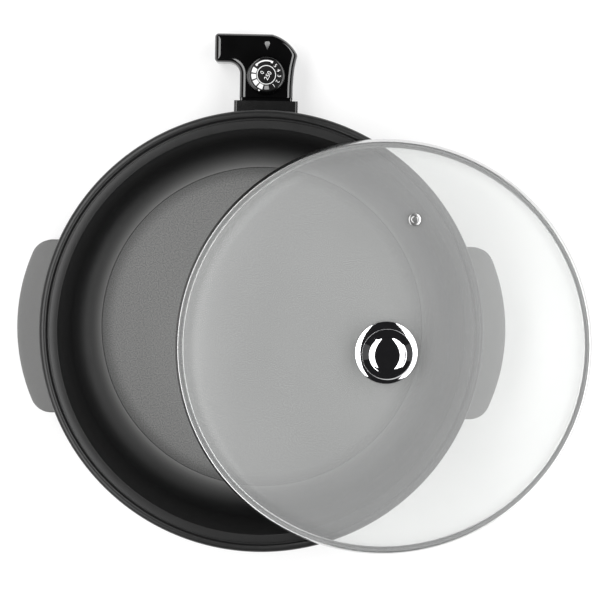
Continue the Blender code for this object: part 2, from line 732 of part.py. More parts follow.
def shell_holes(upper):
    """Everything that pierces the casing: screw bores, and the ways for the pins and the probe."""
    sink, bore = M3[1] + HEAD_ROOM, M3[0] + GAP
    outside, seat, end = BODY_LOW - 5 * MM, BODY_LOW + 2.4 * MM, BODY_HIGH - SHELL - 5 * MM
    stepped = [(0, outside), (sink, outside), (sink, seat), (bore, seat), (bore, end), (0, end)]
    holes = [moved(turned(stepped), (x * MM, y * MM, 0)) for x, y in SHELL_SCREWS]
    front = NECK_START - DIAL_Y
    for x, radius in ((-PIN_X, PIN_WAY), (0, PROBE_RADIUS + GAP), (PIN_X, PIN_WAY)):
        hole = rod(radius, front - 3 * MM, front + SHELL + 1 * MM)
        holes.append(moved(hole, (x, 0, ELEMENT_Z), ALONG_Y))
    if upper:
        holes.append(rod(SPINDLE_RADIUS + GAP, 0, BODY_HIGH + 5 * MM))
        holes.append(prism(pointer_outline(GAP), BODY_HIGH - 6 * MM, BODY_HIGH + 5 * MM))
        bush = rod(BUSH_RADIUS + GAP, -ARM_REACH - 5 * MM, -ARM_REACH + SHELL + 3 * MM)
        holes.append(moved(bush, (0, bush_at()[1] - DIAL_Y, BUSH_Z), ALONG_X))
    return merged(*holes)


def bush_at():
    return (0, DIAL_Y + (BODY_BACK + ARM_FRONT) / 2, BUSH_Z)


def pointer_outline(grow):
    """The pointer window over the pilot lamp: a triangle that points at the dial."""
    wide, near, far = 2.6 * MM + grow, POINTER_NEAR - grow * 2, POINTER_FAR + grow
    shoulder = far - 2 * MM
    half = [(wide, shoulder), (wide * 0.6, far)]
    left = [(-x, y) for x, y in reversed(half)]
    return [(POINTER_X + x, y) for x, y in [(0, near), *half, *left]]


def make_plug_side(steel, brass, ceramic, parent):
    """The probe, the contacts that take the pins, and the earth springs beside the neck."""
    tail = NECK_START + PROBE_TAIL
    probe = moved(rod(PROBE_RADIUS, -tail, PROBE_LENGTH - tail, tip=2 * MM), turn=ALONG_BACK)
    place("temperature_probe", probe, steel, (0, 0, ELEMENT_Z), parent=parent)
    start = NECK_START + SHELL + GAP
    for side, word in SIDES:
        bore = PIN_RADIUS + GAP
        sleeve = moved(tube(bore, bore + SLEEVE_WALL, start, PIN_END + 4 * MM), turn=ALONG_Y)
        place(f"contact_sleeve_{word}", sleeve, brass, (side * PIN_X, 0, ELEMENT_Z), parent=parent)
    plate = upright(neck_outline(SHELL + GAP), CARRIER_START, CARRIER_START + CARRIER_THICKNESS)
    carrier = place("contact_carrier", plate, ceramic, parent=parent)
    sleeve_way = PIN_RADIUS + 2 * GAP + SLEEVE_WALL
    near, far = CARRIER_START - 2 * MM, CARRIER_START + CARRIER_THICKNESS + 2 * MM
    ways = []
    for x, radius in ((-PIN_X, sleeve_way), (0, PROBE_RADIUS + GAP), (PIN_X, sleeve_way)):
        ways.append(moved(rod(radius, near, far), (x, 0, ELEMENT_Z), ALONG_Y))
    cut(carrier, tool("carrier_ways", merged(*ways)))
    make_earth_spring(brass, parent)


def make_earth_spring(brass, parent):
    """A bowed strip beside the neck that touches the guard before the pins meet their sleeves."""
    foot = NECK_HALF + GAP
    foot_near, foot_far = (foot, NECK_START + 5 * MM), (foot, NECK_START + 23 * MM)
    inset = Vector((0, 0.9 * MM))
    outer = bowed(foot_near, foot_far, SPRING_BOW, 8)
    inner = bowed(Vector(foot_near) + inset, Vector(foot_far) - inset, SPRING_BOW - 0.6 * MM, 8)
    strip = prism(outer + inner[::-1], ELEMENT_Z + 3 * MM, ELEMENT_Z + 11 * MM)
    place("earth_spring", strip, brass, parent=parent)


def bracket_low():
    return LEAF_TOP - BRACKET_DROP - GAP - BRACKET


def make_thermostat(steel, brass, ceramic, parent):
    """Two ceramic spacers, the fixed contact strip between them, their bracket and their rivet."""
    strip_low, strip_high = LEAF_TOP - 4.3 * MM, LEAF_TOP - 3.5 * MM
    low = bracket_low() + BRACKET + GAP
    high = LEAF_TOP + 2.4 * MM
    hole = 1.7 * MM
    middle = (STACK_START + STACK_END) / 2
    drill = tool("stack_drill", rod(hole, -40 * MM, 20 * MM), (0, middle, 0))
    for word, bottom, top in (("lower", low, strip_low - GAP), ("upper", strip_high + GAP, high)):
        block = box((-7 * MM, STACK_START, bottom), (7 * MM, STACK_END, top))
        cut(place(f"{word}_spacer", block, ceramic, parent=parent), drill)
    strip = box((-3.5 * MM, STACK_START - 4 * MM, strip_low), (3.5 * MM, CONTACT_Y + 3 * MM, strip_high))
    fixed = place("fixed_contact_strip", strip, brass, parent=parent)
    contact = rod(CONTACT_RADIUS, strip_high - 0.3 * MM, strip_high + 0.7 * MM)
    join(fixed, tool("fixed_contact", contact, (0, CONTACT_Y, 0)))
    cut(fixed, drill)
    near, far = STACK_START - 1.5 * MM, STACK_END + 26 * MM
    bracket = box((-8 * MM, near, low - BRACKET - GAP), (8 * MM, far, low - GAP))
    plate = place("thermostat_bracket", bracket, steel, parent=parent)
    cut(plate, drill)
    foot, head, flange = low - BRACKET - 2 * GAP, high + GAP, 2.8 * MM
    rivet = [
        (0, foot - 1 * MM),
        (flange, foot - 1 * MM),
        (flange, foot),
        (hole - GAP, foot),
        (hole - GAP, head),
        (flange, head),
        (flange, head + 1 * MM),
        (0, head + 1 * MM),
    ]
    place("thermostat_rivet", turned(rivet), steel, (0, middle, 0), parent=parent)


def make_controller(plastic, steel, brass, ceramic, rubber, lens, parent):
    make_shell("controller_upper_shell", True, plastic, parent)
    make_shell("controller_lower_shell", False, plastic, parent)
    seat = BODY_LOW + 2.4 * MM - GAP
    spots = [(x * MM, DIAL_Y + y * MM, seat) for x, y in SHELL_SCREWS]
    add_screws("shell_screw", ("dial_end", "arm"), M3, 20 * MM, spots, steel, parent)
    make_plug_side(steel, brass, ceramic, parent)
    make_thermostat(steel, brass, ceramic, parent)
    window = prism(pointer_outline(0), BODY_HIGH - SHELL - 0.4 * MM, BODY_HIGH + 0.2 * MM)
    place("pointer_window", window, lens, (0, DIAL_Y, 0), parent=parent)
    lamp = turned([(0, 0), (2.4 * MM, 0), (2.4 * MM, 6 * MM), (1.2 * MM, 8 * MM), (0, 8 * MM)])
    under_window = (POINTER_X, DIAL_Y + POINTER_FAR - 3.7 * MM, BODY_HIGH - SHELL - 9.5 * MM)
    place("pilot_lamp", lamp, lens, under_window, parent=parent)
    bush = tube(BUSH_BORE, BUSH_RADIUS, -ARM_REACH + 0.2 * MM, -ARM_REACH + 8 * MM)
    place("cord_bush", moved(bush, turn=ALONG_X), rubber, bush_at(), parent=parent)


def make_leaf(brass, parent):
    """The contact leaf that the dial's spindle bends down."""
    low = LEAF_TOP - LEAF_THICKNESS
    tip = CONTACT_Y + 2 * MM
    form = box((-3 * MM, STACK_END + GAP, low), (3 * MM, tip, LEAF_TOP))
    strip = moved(form, (0, -LEAF_PIVOT_Y, -LEAF_TOP))
    leaf = place("contact_leaf", strip, brass, (0, LEAF_PIVOT_Y, LEAF_TOP), parent=parent)
    contact = rod(CONTACT_RADIUS, low - 0.5 * MM, low + 0.3 * MM)
    join(leaf, tool("leaf_contact", contact, (0, CONTACT_Y, 0)))


# ---------------------------------------------------------------- dial

def make_dial(plastic, print_black, steel, parent):
    low = BODY_HIGH + GAP
    high = low + DIAL_HEIGHT
    recess = high - FACE_THICKNESS
    bore = SPINDLE_RADIUS + GAP
    spindle_top = high - 3 * MM
    knob = [
        (bore, low),
        (DIAL_RADIUS - 0.4 * MM, low),
        (DIAL_RADIUS, low + 0.6 * MM),
        (DIAL_TOP_RADIUS + 0.4 * MM, high - 1 * MM),
        (DIAL_TOP_RADIUS - 0.3 * MM, high),
        (FACE_RADIUS + GAP, high),
        (FACE_RADIUS + GAP, recess - GAP),
        (0, recess - GAP),
        (0, spindle_top + GAP),
        (bore, spindle_top + GAP),
    ]
    at = (0, DIAL_Y, 0)
    place("dial", turned(knob, 24), plastic, at, parent=parent)
    place("dial_face", rod(FACE_RADIUS, recess, high - 0.2 * MM, 24), print_black, at, parent=parent)
    tip = LEAF_TOP + GAP
    spindle = [
        (0, tip),
        (1.6 * MM, tip),
        (SPINDLE_RADIUS, tip + 2 * MM),
        (SPINDLE_RADIUS, spindle_top),
        (0, spindle_top),
    ]
    place("dial_spindle", turned(spindle), steel, at, parent=parent)
    clip_top = BODY_HIGH - SHELL - GAP
    clip = tube(SPINDLE_RADIUS + GAP, SPINDLE_RADIUS + 3 * MM, clip_top - 0.8 * MM, clip_top)
    place("spindle_clip", clip, steel, at, parent=parent)


# ---------------------------------------------------------------- lid

def lid_rest():
    x, y = LID_SHIFT * math.cos(LID_SHIFT_ANGLE), LID_SHIFT * math.sin(LID_SHIFT_ANGLE)
    return x, y, PAN_TOP + GAP


def shoulder_centre():
    """Centre of the glass's shoulder arc, from the lid's foot."""
    radius = LID_RADIUS - (SHOULDER_RADIUS + GAP + BAND) * math.sin(SHOULDER_END)
    height = BAND + GAP - (SHOULDER_RADIUS - GLASS) * math.cos(SHOULDER_END)
    return radius, height


def dome_radius():
    return SHOULDER_RADIUS + shoulder_centre()[0] / math.sin(SHOULDER_START)


def glass_surface(depth):
    """Points of a surface `depth` under the glass's top, from the edge in to the axis."""
    centre = shoulder_centre()
    radius = SHOULDER_RADIUS - depth
    edge, end = math.pi / 2 - SHOULDER_END, math.pi / 2 - SHOULDER_START
    band = edge + BAND_ANGLE
    shoulder = arc(centre, radius, edge, band, 1) + arc(centre, radius, band, end, 3)[1:]
    big = dome_radius()
    low = centre[1] - (big - SHOULDER_RADIUS) * math.cos(SHOULDER_START)
    dome = arc((0, low), big - depth, end, math.pi / 2, 3)
    return shoulder + dome[1:]


def glass_top():
    """Height of the glass at its middle, over the lid's foot."""
    return glass_surface(0)[-1][1]


def make_glass(glass, parent):
    profile = glass_surface(0) + glass_surface(GLASS)[::-1]
    lid = place("lid_glass", turned(profile, ROUND), glass, lid_rest(), parent=parent)
    lx, ly, lz = lid_rest()
    cut(lid, tool("knob_hole", rod(4 * MM, lz, lz + 80 * MM), (lx, ly, 0)))
    spot, turn = vent_place()
    cut(lid, tool("vent_hole", rod(VENT_HOLE + 1.4 * MM, -20 * MM, 20 * MM), spot, turn))


def vent_place():
    """Where the vent stands on the glass, and its tilt along the glass's normal."""
    big = dome_radius()
    tilt = math.asin(VENT_CIRCLE / big)
    lx, ly, lz = lid_rest()
    height = glass_top() - big * (1 - math.cos(tilt))
    x, y = VENT_CIRCLE * math.cos(VENT_ANGLE), VENT_CIRCLE * math.sin(VENT_ANGLE)
    return (lx + x, ly + y, lz + height), (0, tilt, VENT_ANGLE)


def make_band(steel, parent):
    """The rolled steel band: a channel that follows the glass's edge inside and out."""
    cr, cz = shoulder_centre()
    edge = math.pi / 2 - SHOULDER_END
    upper = edge + BAND_ANGLE
    outer = arc((cr, cz), SHOULDER_RADIUS + GAP + BAND, edge, upper, 1)
    outer_in = arc((cr, cz), SHOULDER_RADIUS + GAP, upper, edge, 1)
    inner = arc((cr, cz), SHOULDER_RADIUS - GLASS - GAP, edge, upper, 1)
    inner_in = arc((cr, cz), SHOULDER_RADIUS - GLASS - GAP - BAND, upper, edge, 1)
    profile = [
        (outer[0][0], 0.6 * MM),
        *outer,
        *outer_in,
        (outer_in[-1][0], BAND),
        (inner[0][0], BAND),
        *inner,
        *inner_in,
        (inner_in[-1][0], 0),
        (outer[0][0] - 0.6 * MM, 0),
    ]
    place("lid_band", turned(profile, ROUND), steel, lid_rest(), parent=parent)


def make_vent(steel, rubber, parent):
    spot, turn = vent_place()
    low = -GLASS - VENT_SEAT - 0.8 * MM
    eyelet = [
        (VENT_HOLE, low - 0.6 * MM),
        (VENT_HOLE + 1 * MM, low - 0.6 * MM),
        (VENT_HOLE + 1 * MM, GAP),
        (VENT_RADIUS, GAP),
        (VENT_RADIUS, GAP + 0.7 * MM),
        (VENT_RADIUS - 0.7 * MM, GAP + 1.3 * MM),
        (VENT_HOLE + 1.4 * MM, GAP + 1.3 * MM),
        (VENT_HOLE, GAP - 0.6 * MM),
    ]
    place("vent_eyelet", turned(eyelet), steel, spot, turn, parent=parent)
    washer = tube(VENT_HOLE + 1 * MM + GAP, VENT_RADIUS - 0.4 * MM, low, low + 0.8 * MM)
    place("vent_washer", washer, rubber, spot, turn, parent=parent)


def make_knob(chrome, steel, rubber, parent):
    """The lid's handle: a dished flange, a mushroom knob and its cap, drawn down by a screw."""
    top = glass_top()
    under = top - GLASS
    washer_top = top + 1.2 * MM
    stem_bore = 2.3 * MM
    at = lid_rest()
    washer = tube(4.3 * MM, 12 * MM, top + GAP, washer_top, 16)
    place("knob_washer", washer, rubber, at, parent=parent)
    base = washer_top + GAP
    rim = top - 0.1 * MM
    flange = [
        (4.3 * MM, base),
        (12.5 * MM, base),
        (FLANGE_RADIUS - 1 * MM, rim + 0.6 * MM),
        (FLANGE_RADIUS, rim + 0.9 * MM),
        (FLANGE_RADIUS - 0.6 * MM, rim + 2 * MM),
        (20 * MM, base + 2.4 * MM),
        (KNOB_STEM + 0.6 * MM, base + 3.2 * MM),
        (4.3 * MM, base + 3.2 * MM),
    ]
    place("knob_flange", turned(flange, 24), chrome, at, parent=parent)
    foot = base + 3.2 * MM + GAP
    crown = foot + KNOB_HEIGHT
    cap_seat = crown - 2.2 * MM
    knob = [
        (stem_bore, foot),
        (KNOB_STEM, foot),
        (KNOB_STEM, foot + 3 * MM),
        (KNOB_STEM + 2.5 * MM, foot + 6.5 * MM),
        (KNOB_RADIUS - 3 * MM, foot + 9.5 * MM),
        (KNOB_RADIUS - 0.5 * MM, foot + 10 * MM),
        (KNOB_RADIUS, foot + 10.9 * MM),
        (KNOB_RADIUS - 0.4 * MM, foot + 11.7 * MM),
        (KNOB_CAP_RADIUS + 0.9 * MM, crown - 0.6 * MM),
        (KNOB_CAP_RADIUS + GAP, crown - 0.4 * MM),
        (KNOB_CAP_RADIUS + GAP, cap_seat),
        (stem_bore, cap_seat),
    ]
    place("knob", turned(knob, 24), chrome, at, parent=parent)
    cap = [
        (0, cap_seat + GAP),
        (KNOB_CAP_RADIUS, cap_seat + GAP),
        (KNOB_CAP_RADIUS, crown - 0.5 * MM),
        (KNOB_CAP_RADIUS * 0.7, crown + 0.9 * MM),
        (KNOB_CAP_RADIUS * 0.35, crown + 1.6 * MM),
        (0, crown + 1.8 * MM),
    ]
    place("knob_cap", turned(cap, 24), chrome, at, parent=parent)
    inner_washer = tube(4.3 * MM, 9 * MM, under - GAP - 1.2 * MM, under - GAP, 16)
    place("knob_inner_washer", inner_washer, rubber, at, parent=parent)
    seat = under - 2 * GAP - 1.2 * MM
    spots = [(at[0], at[1], at[2] + seat)]
    size = (M4[0], 5.2 * MM, 2.2 * MM)
    add_screws("knob", ("screw",), size, cap_seat - 1 * MM - seat, spots, steel, parent)


def main():
    clear_scene()
    cast = finish("nonstick_coating", (0.06, 0.06, 0.06), 0.5)
    steel = finish("bright_steel", (0.7, 0.7, 0.7), 0.25, 1.0)
    chrome = finish("chrome", (0.85, 0.85, 0.85), 0.05, 1.0)
    brass = finish("brass", (0.75, 0.6, 0.3), 0.3, 1.0)
    ceramic = finish("ceramic", (0.85, 0.83, 0.78), 0.6)
    grey = finish("grey_plastic", (0.18, 0.18, 0.175), 0.55)
    gloss = finish("gloss_black", (0.01, 0.01, 0.01), 0.15)
    painted = finish("painted_guard", (0.02, 0.02, 0.02), 0.4)
    bakelite = finish("bakelite", (0.02, 0.02, 0.02), 0.5)
    rubber = finish("rubber", (0.03, 0.03, 0.03), 0.8)
    silicone = finish("silicone", (0.6, 0.6, 0.6), 0.6)
    print_black = finish("dial_face", (0.02, 0.02, 0.02), 0.4)
    lens = finish("smoked_lens", (0.3, 0.3, 0.3), 0.2)
    glass = finish("glass", (0.8, 0.85, 0.85), 0.03)

    make_pan(cast)
    make_element(steel, ceramic)
    make_guard(painted, ceramic, steel)
    make_legs(bakelite, rubber, steel)
    make_handles(grey, steel)

    plug = joint("controller_pull", (0, NECK_START, ELEMENT_Z))
    make_controller(gloss, steel, brass, ceramic, rubber, lens, plug)
    make_leaf(brass, joint("contact_leaf_bend", (0, LEAF_PIVOT_Y, LEAF_TOP)))
    make_dial(gloss, print_black, steel, joint("dial_turn", (0, DIAL_Y, BODY_HIGH)))

    lid = joint("lid_slide", lid_rest())
    make_glass(glass, lid)
    make_band(steel, lid)
    make_vent(steel, silicone, lid)
    make_knob(chrome, steel, silicone, lid)


main()
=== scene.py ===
import math

import bmesh
import bpy
from mathutils import Matrix, Vector


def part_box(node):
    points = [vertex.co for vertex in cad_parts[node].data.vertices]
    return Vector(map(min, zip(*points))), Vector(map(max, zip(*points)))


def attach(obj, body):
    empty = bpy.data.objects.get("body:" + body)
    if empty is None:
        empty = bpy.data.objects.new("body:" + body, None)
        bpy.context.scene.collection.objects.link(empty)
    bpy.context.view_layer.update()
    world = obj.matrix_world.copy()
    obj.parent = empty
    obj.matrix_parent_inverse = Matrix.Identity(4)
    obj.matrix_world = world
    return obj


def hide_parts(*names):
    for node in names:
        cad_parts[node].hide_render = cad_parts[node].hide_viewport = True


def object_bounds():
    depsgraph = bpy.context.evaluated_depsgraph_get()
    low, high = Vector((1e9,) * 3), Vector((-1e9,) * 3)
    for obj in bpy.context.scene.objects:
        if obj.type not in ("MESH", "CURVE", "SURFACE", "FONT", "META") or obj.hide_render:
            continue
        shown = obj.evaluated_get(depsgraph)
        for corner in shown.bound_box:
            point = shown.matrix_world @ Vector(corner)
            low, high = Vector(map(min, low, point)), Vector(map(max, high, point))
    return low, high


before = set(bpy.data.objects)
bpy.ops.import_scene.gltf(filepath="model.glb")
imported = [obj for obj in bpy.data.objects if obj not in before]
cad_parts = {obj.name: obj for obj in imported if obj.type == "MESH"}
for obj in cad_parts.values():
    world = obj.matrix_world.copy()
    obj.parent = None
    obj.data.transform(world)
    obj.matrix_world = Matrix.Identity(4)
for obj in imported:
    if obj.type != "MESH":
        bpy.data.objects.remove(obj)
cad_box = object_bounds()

# ------------------------------------------------------------------ camera
# The camera hangs over the pan and looks almost straight down, with the controller at the top of the
# frame. It stands a little towards the controller, so that the pan's far wall shows less than the near.
MM = 0.001
rim_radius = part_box("pan")[1][0]
rim_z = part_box("pan")[1][2]
view_from = Vector((0.010, 0.150, rim_z + 1.5))
view_to = Vector((0.0356, 0.0326, rim_z))
camera = bpy.data.objects.new("camera", bpy.data.cameras.new("camera"))
camera.data.sensor_width = 36
camera.data.lens = 95.9
camera.data.clip_end = 20
backwards = (view_from - view_to).normalized()
upwards = Matrix.Rotation(math.radians(1.1), 3, "Z") @ Vector((0, 1, 0))
sideways = upwards.cross(backwards).normalized()
upwards = backwards.cross(sideways)
facing = Matrix((sideways, upwards, backwards)).transposed().to_4x4()
camera.matrix_world = Matrix.Translation(view_from) @ facing
bpy.context.scene.collection.objects.link(camera)
bpy.context.scene.camera = camera

# ------------------------------------------------------------------ lamps
# Two long softboxes lie along the pan's left and right, and the space over the camera is left dark.
# Two dim grey cards stand low on either side, for the steeper flanks of the polished pieces. The room
# is dark, so that the polished pieces show dark between the lamps, but its far wall is seen as pale.


def softbox(name, at, aim, size, power):
    """A rectangular lamp that faces a point."""
    lamp = bpy.data.lights.new(name, "AREA")
    lamp.shape = "RECTANGLE"
    lamp.size, lamp.size_y = size
    lamp.energy = power
    lantern = bpy.data.objects.new(name, lamp)
    lantern.location = at
    lantern.rotation_euler = (Vector(at) - Vector(aim)).to_track_quat("Z", "Y").to_euler()
    bpy.context.scene.collection.objects.link(lantern)
    return lantern


softbox("left_softbox", (-0.94, 0.10, 1.30), (0.06, 0.05, 0), (3.2, 0.95), 41)
softbox("right_softbox", (1.18, 0.10, 1.30), (0.12, 0.05, 0), (3.2, 0.95), 39)
softbox("left_card", (-2.4, 0.0, 0.62), (0, 0, 0.1), (1.9, 1.1), 0.5)
softbox("right_card", (2.6, 0.0, 0.62), (0.1, 0, 0.1), (1.9, 1.1), 0.42)
bpy.context.scene.view_settings.view_transform = "Standard"
room = bpy.data.worlds.new("studio")
room.use_nodes = True
dim = room.node_tree.nodes["Background"]
dim.inputs["Color"].default_value = (0.016, 0.016, 0.017, 1)
pale = room.node_tree.nodes.new("ShaderNodeBackground")
pale.inputs["Color"].default_value = (0.86, 0.86, 0.86, 1)
seen = room.node_tree.nodes.new("ShaderNodeMixShader")
for source, socket in (
    (room.node_tree.nodes.new("ShaderNodeLightPath").outputs["Is Camera Ray"], seen.inputs[0]),
    (dim.outputs[0], seen.inputs[1]),
    (pale.outputs[0], seen.inputs[2]),
    (seen.outputs[0], room.node_tree.nodes["World Output"].inputs["Surface"]),
):
    room.node_tree.links.new(source, socket)
bpy.context.scene.world = room

# ------------------------------------------------------------------ pan
# One aluminium casting, turned on the rim and blacked inside and out with non-stick coating. The flat
# cooking surface is embossed with a fine grain. A groove runs round the rim between ledge and bead.


class Value:
    """A number that changes over a surface. Arithmetic on it adds Math nodes to its finish."""

    def __init__(self, finish, socket):
        self.finish, self.socket = finish, socket

    def maths(self, operation, *values):
        node = self.finish.node("Math", {"operation": operation}, *values)
        return Value(self.finish, node.outputs[0])

    def __add__(self, other):
        return self.maths("ADD", self, other)

    __radd__ = __add__

    def __sub__(self, other):
        return self.maths("SUBTRACT", self, other)

    def __rsub__(self, other):
        return self.maths("SUBTRACT", other, self)

    def __mul__(self, other):
        return self.maths("MULTIPLY", self, other)

    __rmul__ = __mul__

    def __pow__(self, other):
        return self.maths("POWER", self, other)

    def ramp(self, low, high):
        """0 at low, 1 at high and straight between them."""
        return Value(self.finish, self.finish.node("MapRange", {}, self, low, high).outputs[0])

    def within(self, low, high):
        """0 at low, 1 at high and smooth between them."""
        settings = {"interpolation_type": "SMOOTHSTEP"}
        node = self.finish.node("MapRange", settings, self, low, high)
        return Value(self.finish, node.outputs[0])


class Finish:
    """A material: one Principled shader, its constant sockets, and the nodes that vary the others."""

    def __init__(self, name, colour, roughness, metallic=0.0, **constants):
        self.material = bpy.data.materials.new(name)
        self.material.use_nodes = True
        self.tree = self.material.node_tree
        self.shader = self.tree.nodes["Principled BSDF"]
        self.set("Base Color", (*colour, 1))
        self.set("Roughness", roughness)
        self.set("Metallic", metallic)
        for socket, value in constants.items():
            self.set(socket.replace("_", " "), value)

    def node(self, kind, settings=None, *values, **named):
        """A node of a kind, its settings, then its sockets in order or by name."""
        node = self.tree.nodes.new("ShaderNode" + kind)
        for key, setting in (settings or {}).items():
            setattr(node, key, setting)
        sockets = list(zip([s for s in node.inputs if s.enabled], values))
        sockets += [(node.inputs[key.replace("_", " ")], value) for key, value in named.items()]
        for socket, value in sockets:
            self.plug(socket, value)
        return node

    def plug(self, socket, value):
        if isinstance(value, Value):
            self.tree.links.new(value.socket, socket)
        elif isinstance(value, bpy.types.NodeSocket):
            self.tree.links.new(value, socket)
        else:
            socket.default_value = value

    def set(self, socket, value):
        self.plug(self.shader.inputs[socket], value)

    def place(self, stretch=(1, 1, 1)):
        """The spot on the piece, stretched for grain that runs one way."""
        spot = self.node("TexCoord").outputs["Object"]
        return self.node("VectorMath", {"operation": "MULTIPLY"}, spot, stretch).outputs[0]

    def reach(self, centre=(0, 0, 0)):
        """Distance from the upright line through a spot."""
        off = self.node("VectorMath", {"operation": "SUBTRACT"}, self.place(), centre).outputs[0]
        flat = self.node("VectorMath", {"operation": "MULTIPLY"}, off, (1, 1, 0)).outputs[0]
        return Value(self, self.node("VectorMath", {"operation": "LENGTH"}, flat).outputs["Value"])

    def grain(self, size, detail=2.0, stretch=(1, 1, 1)):
        """Noise from 0 to 1 whose lumps are about `size` across."""
        node = self.node("TexNoise", None, Vector=self.place(stretch), Scale=1 / size, Detail=detail)
        return Value(self, node.outputs[0])


    def tint(self, mask, low, high):
        """Base colour from `low` where the mask is 0 to `high` where it is 1."""
        node = self.node("Mix", {"data_type": "RGBA"}, mask, (*low, 1), (*high, 1))
        self.set("Base Color", node.outputs["Result"])

    def bump(self, height, depth):
        """Relief of a real depth in metres from a height of 0 to 1."""
        self.set("Normal", self.node("Bump", None, Height=height, Distance=depth).outputs[0])


def arc(x, y, radius, start, end, steps):
    """Points on an arc between two angles in degrees."""
    turns = [math.radians(start + (end - start) * i / steps) for i in range(steps + 1)]
    return [(x + radius * math.cos(t), y + radius * math.sin(t)) for t in turns]


def show(name, form, finish, body, node=None, at=(0, 0, 0), turn=None, sharp=32):
    """Makes a piece of a form, rides it on its body and lets it stand for its solid."""
    mesh = bpy.data.meshes.new(name)
    bmesh.ops.recalc_face_normals(form, faces=form.faces)
    form.to_mesh(mesh)
    form.free()
    finishes = finish if isinstance(finish, (list, tuple)) else [finish]
    for each in finishes:
        mesh.materials.append(each.material)
    mesh.shade_smooth()
    mesh.set_sharp_from_angle(angle=math.radians(sharp))
    piece = bpy.data.objects.new(name, mesh)
    bpy.context.scene.collection.objects.link(piece)
    mesh.transform(Matrix.Translation(at) @ (turn or Matrix.Identity(3)).to_4x4())
    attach(piece, body)
    if node:
        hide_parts(node)
    return piece


def lathe(outline, steps=240, zones=()):
    """A closed outline of (radius, height) points turned about Z. `zones` gives the points at which
    the next finish starts."""
    form = bmesh.new()
    rings = []
    for radius, height in outline:
        spots = arc(0, 0, radius, 0, 360, steps)[:-1] if radius > 1e-7 else [(0, 0)]
        rings.append([form.verts.new((x, y, height)) for x, y in spots])
    for i, low in enumerate(rings):
        high = rings[(i + 1) % len(rings)]
        if len(low) == 1 and len(high) == 1:
            continue
        for j in range(steps):
            k = (j + 1) % steps
            corners = [low[j % len(low)], low[k % len(low)], high[k % len(high)], high[j % len(high)]]
            face = form.faces.new(list(dict.fromkeys(corners)))
            face.material_index = sum(i >= start for start in zones)
    return form


plate_radius, moat = 156.6 * MM, 0.9 * MM
floor_thickness, wall_thickness, wall_lean = 5.5 * MM, 4.6 * MM, 10
cove_radius, cove_centre = 24 * MM, 161 * MM
cove_z = cove_radius - moat
bead_width, bead_height, bead_round = 7.4 * MM, 8 * MM, 4.8 * MM
groove_width, groove_depth, ledge_width = 2.5 * MM, 2.6 * MM, 7.6 * MM
bead_inner = rim_radius - bead_width
ledge_outer = bead_inner - groove_width
ledge_inner = ledge_outer - ledge_width
underside = -floor_thickness
block_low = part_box("pan")[0][2]
rib_radius, rib_width = 112 * MM, 14 * MM


def wall_inner(height):
    """Radius of the inner wall at a height."""
    lean = math.radians(wall_lean)
    foot = cove_centre + cove_radius * math.cos(lean)
    return foot + (height - cove_z + cove_radius * math.sin(lean)) * math.tan(lean)


def pan_outside(grow=0.0, steps=14):
    """The outside of the pan, from the underside to below the bead, grown by a clearance."""
    cove = arc(cove_centre, cove_z, cove_z + floor_thickness + grow, -90, -wall_lean, steps)
    top = rim_z - bead_height
    return cove + [(wall_inner(top) + wall_thickness + grow, top)]


edge = 0.6 * MM
plate = [(0, 0), (60 * MM, 0), (120 * MM, 0), *arc(plate_radius - edge, -edge, edge, 90, 30, 3)]
wall = [
    (plate_radius + moat * 0.6, -moat * 0.95),
    *arc(cove_centre, cove_z, cove_radius, -90, -wall_lean, 24),
    (wall_inner(rim_z * 0.7), rim_z * 0.7),
    (ledge_inner - edge * 1.6, rim_z - edge * 3),
]
groove_round = groove_width * 0.4
rim = [
    *arc(ledge_inner + edge * 0.8, rim_z - edge, edge, 160, 90, 4),
    *arc(ledge_outer - edge * 0.6, rim_z - edge * 0.6, edge * 0.6, 90, 0, 3),
    *arc(ledge_outer + groove_round, rim_z - groove_depth + groove_round, groove_round, 180, 270, 4),
    *arc(bead_inner - groove_round, rim_z - groove_depth + groove_round, groove_round, 270, 360, 4),
    *arc(rim_radius - bead_round, rim_z - bead_width + bead_round, bead_width - bead_round, 180, 90, 8),
    *arc(rim_radius - bead_round, rim_z - bead_round, bead_round, 90, 0, 14)[1:],
    *arc(rim_radius - edge * 1.5, rim_z - bead_height + edge * 1.5, edge * 1.5, 0, -90, 5),
]
outside = pan_outside()[::-1]
rib_low, rib_half = block_low, rib_width / 2
under = [
    (rib_radius + rib_half + edge, underside),
    *arc(rib_radius + rib_half - 3 * MM, rib_low + 3 * MM, 3 * MM, 0, -90, 5),
    *arc(rib_radius - rib_half + 3 * MM, rib_low + 3 * MM, 3 * MM, -90, -180, 5),
    (rib_radius - rib_half - edge, underside),
    (0, underside),
]

coating = Finish("wall_coating", (0.010, 0.010, 0.0105), 0.5, Specular_IOR_Level=0.3)
peel = coating.grain(0.9 * MM, 3)
coating.set("Roughness", 0.46 + 0.10 * coating.grain(14 * MM, 4))
# Painted light and shade: the one black coating is coloured near black up the steep wall and grey at the
# foot of the cove, as overhead light would sheen it where it turns flat. The peel grain varies it a
# little.
painted_cove_sheen = coating.reach().ramp(plate_radius + 27 * MM, plate_radius) ** 3
coating.tint(painted_cove_sheen * (0.85 + 0.3 * peel), (0.004, 0.004, 0.0042), (0.160, 0.160, 0.158))
coating.bump(peel, 0.03 * MM)

embossed = Finish("cooking_surface_coating", (0.09, 0.09, 0.09), 0.5, Specular_IOR_Level=0.5)
pebble = embossed.grain(1.1 * MM, 3)
embossed.set("Roughness", 0.40 + 0.16 * embossed.grain(9 * MM, 4))
# Painted shade: the cooking surface is darkened towards the crest, by a little over half at its edge. The
# pebble grain's light and dark spots are its own.
painted_crest_shade = embossed.reach().within(plate_radius - 14 * MM, plate_radius)
pebble_and_crest_shade = (0.35 + 0.45 * pebble.within(0.32, 0.68)) * (1 - 0.55 * painted_crest_shade)
embossed.tint(pebble_and_crest_shade, (0.03, 0.03, 0.03), (0.235, 0.236, 0.232))
embossed.bump(pebble, 0.14 * MM)

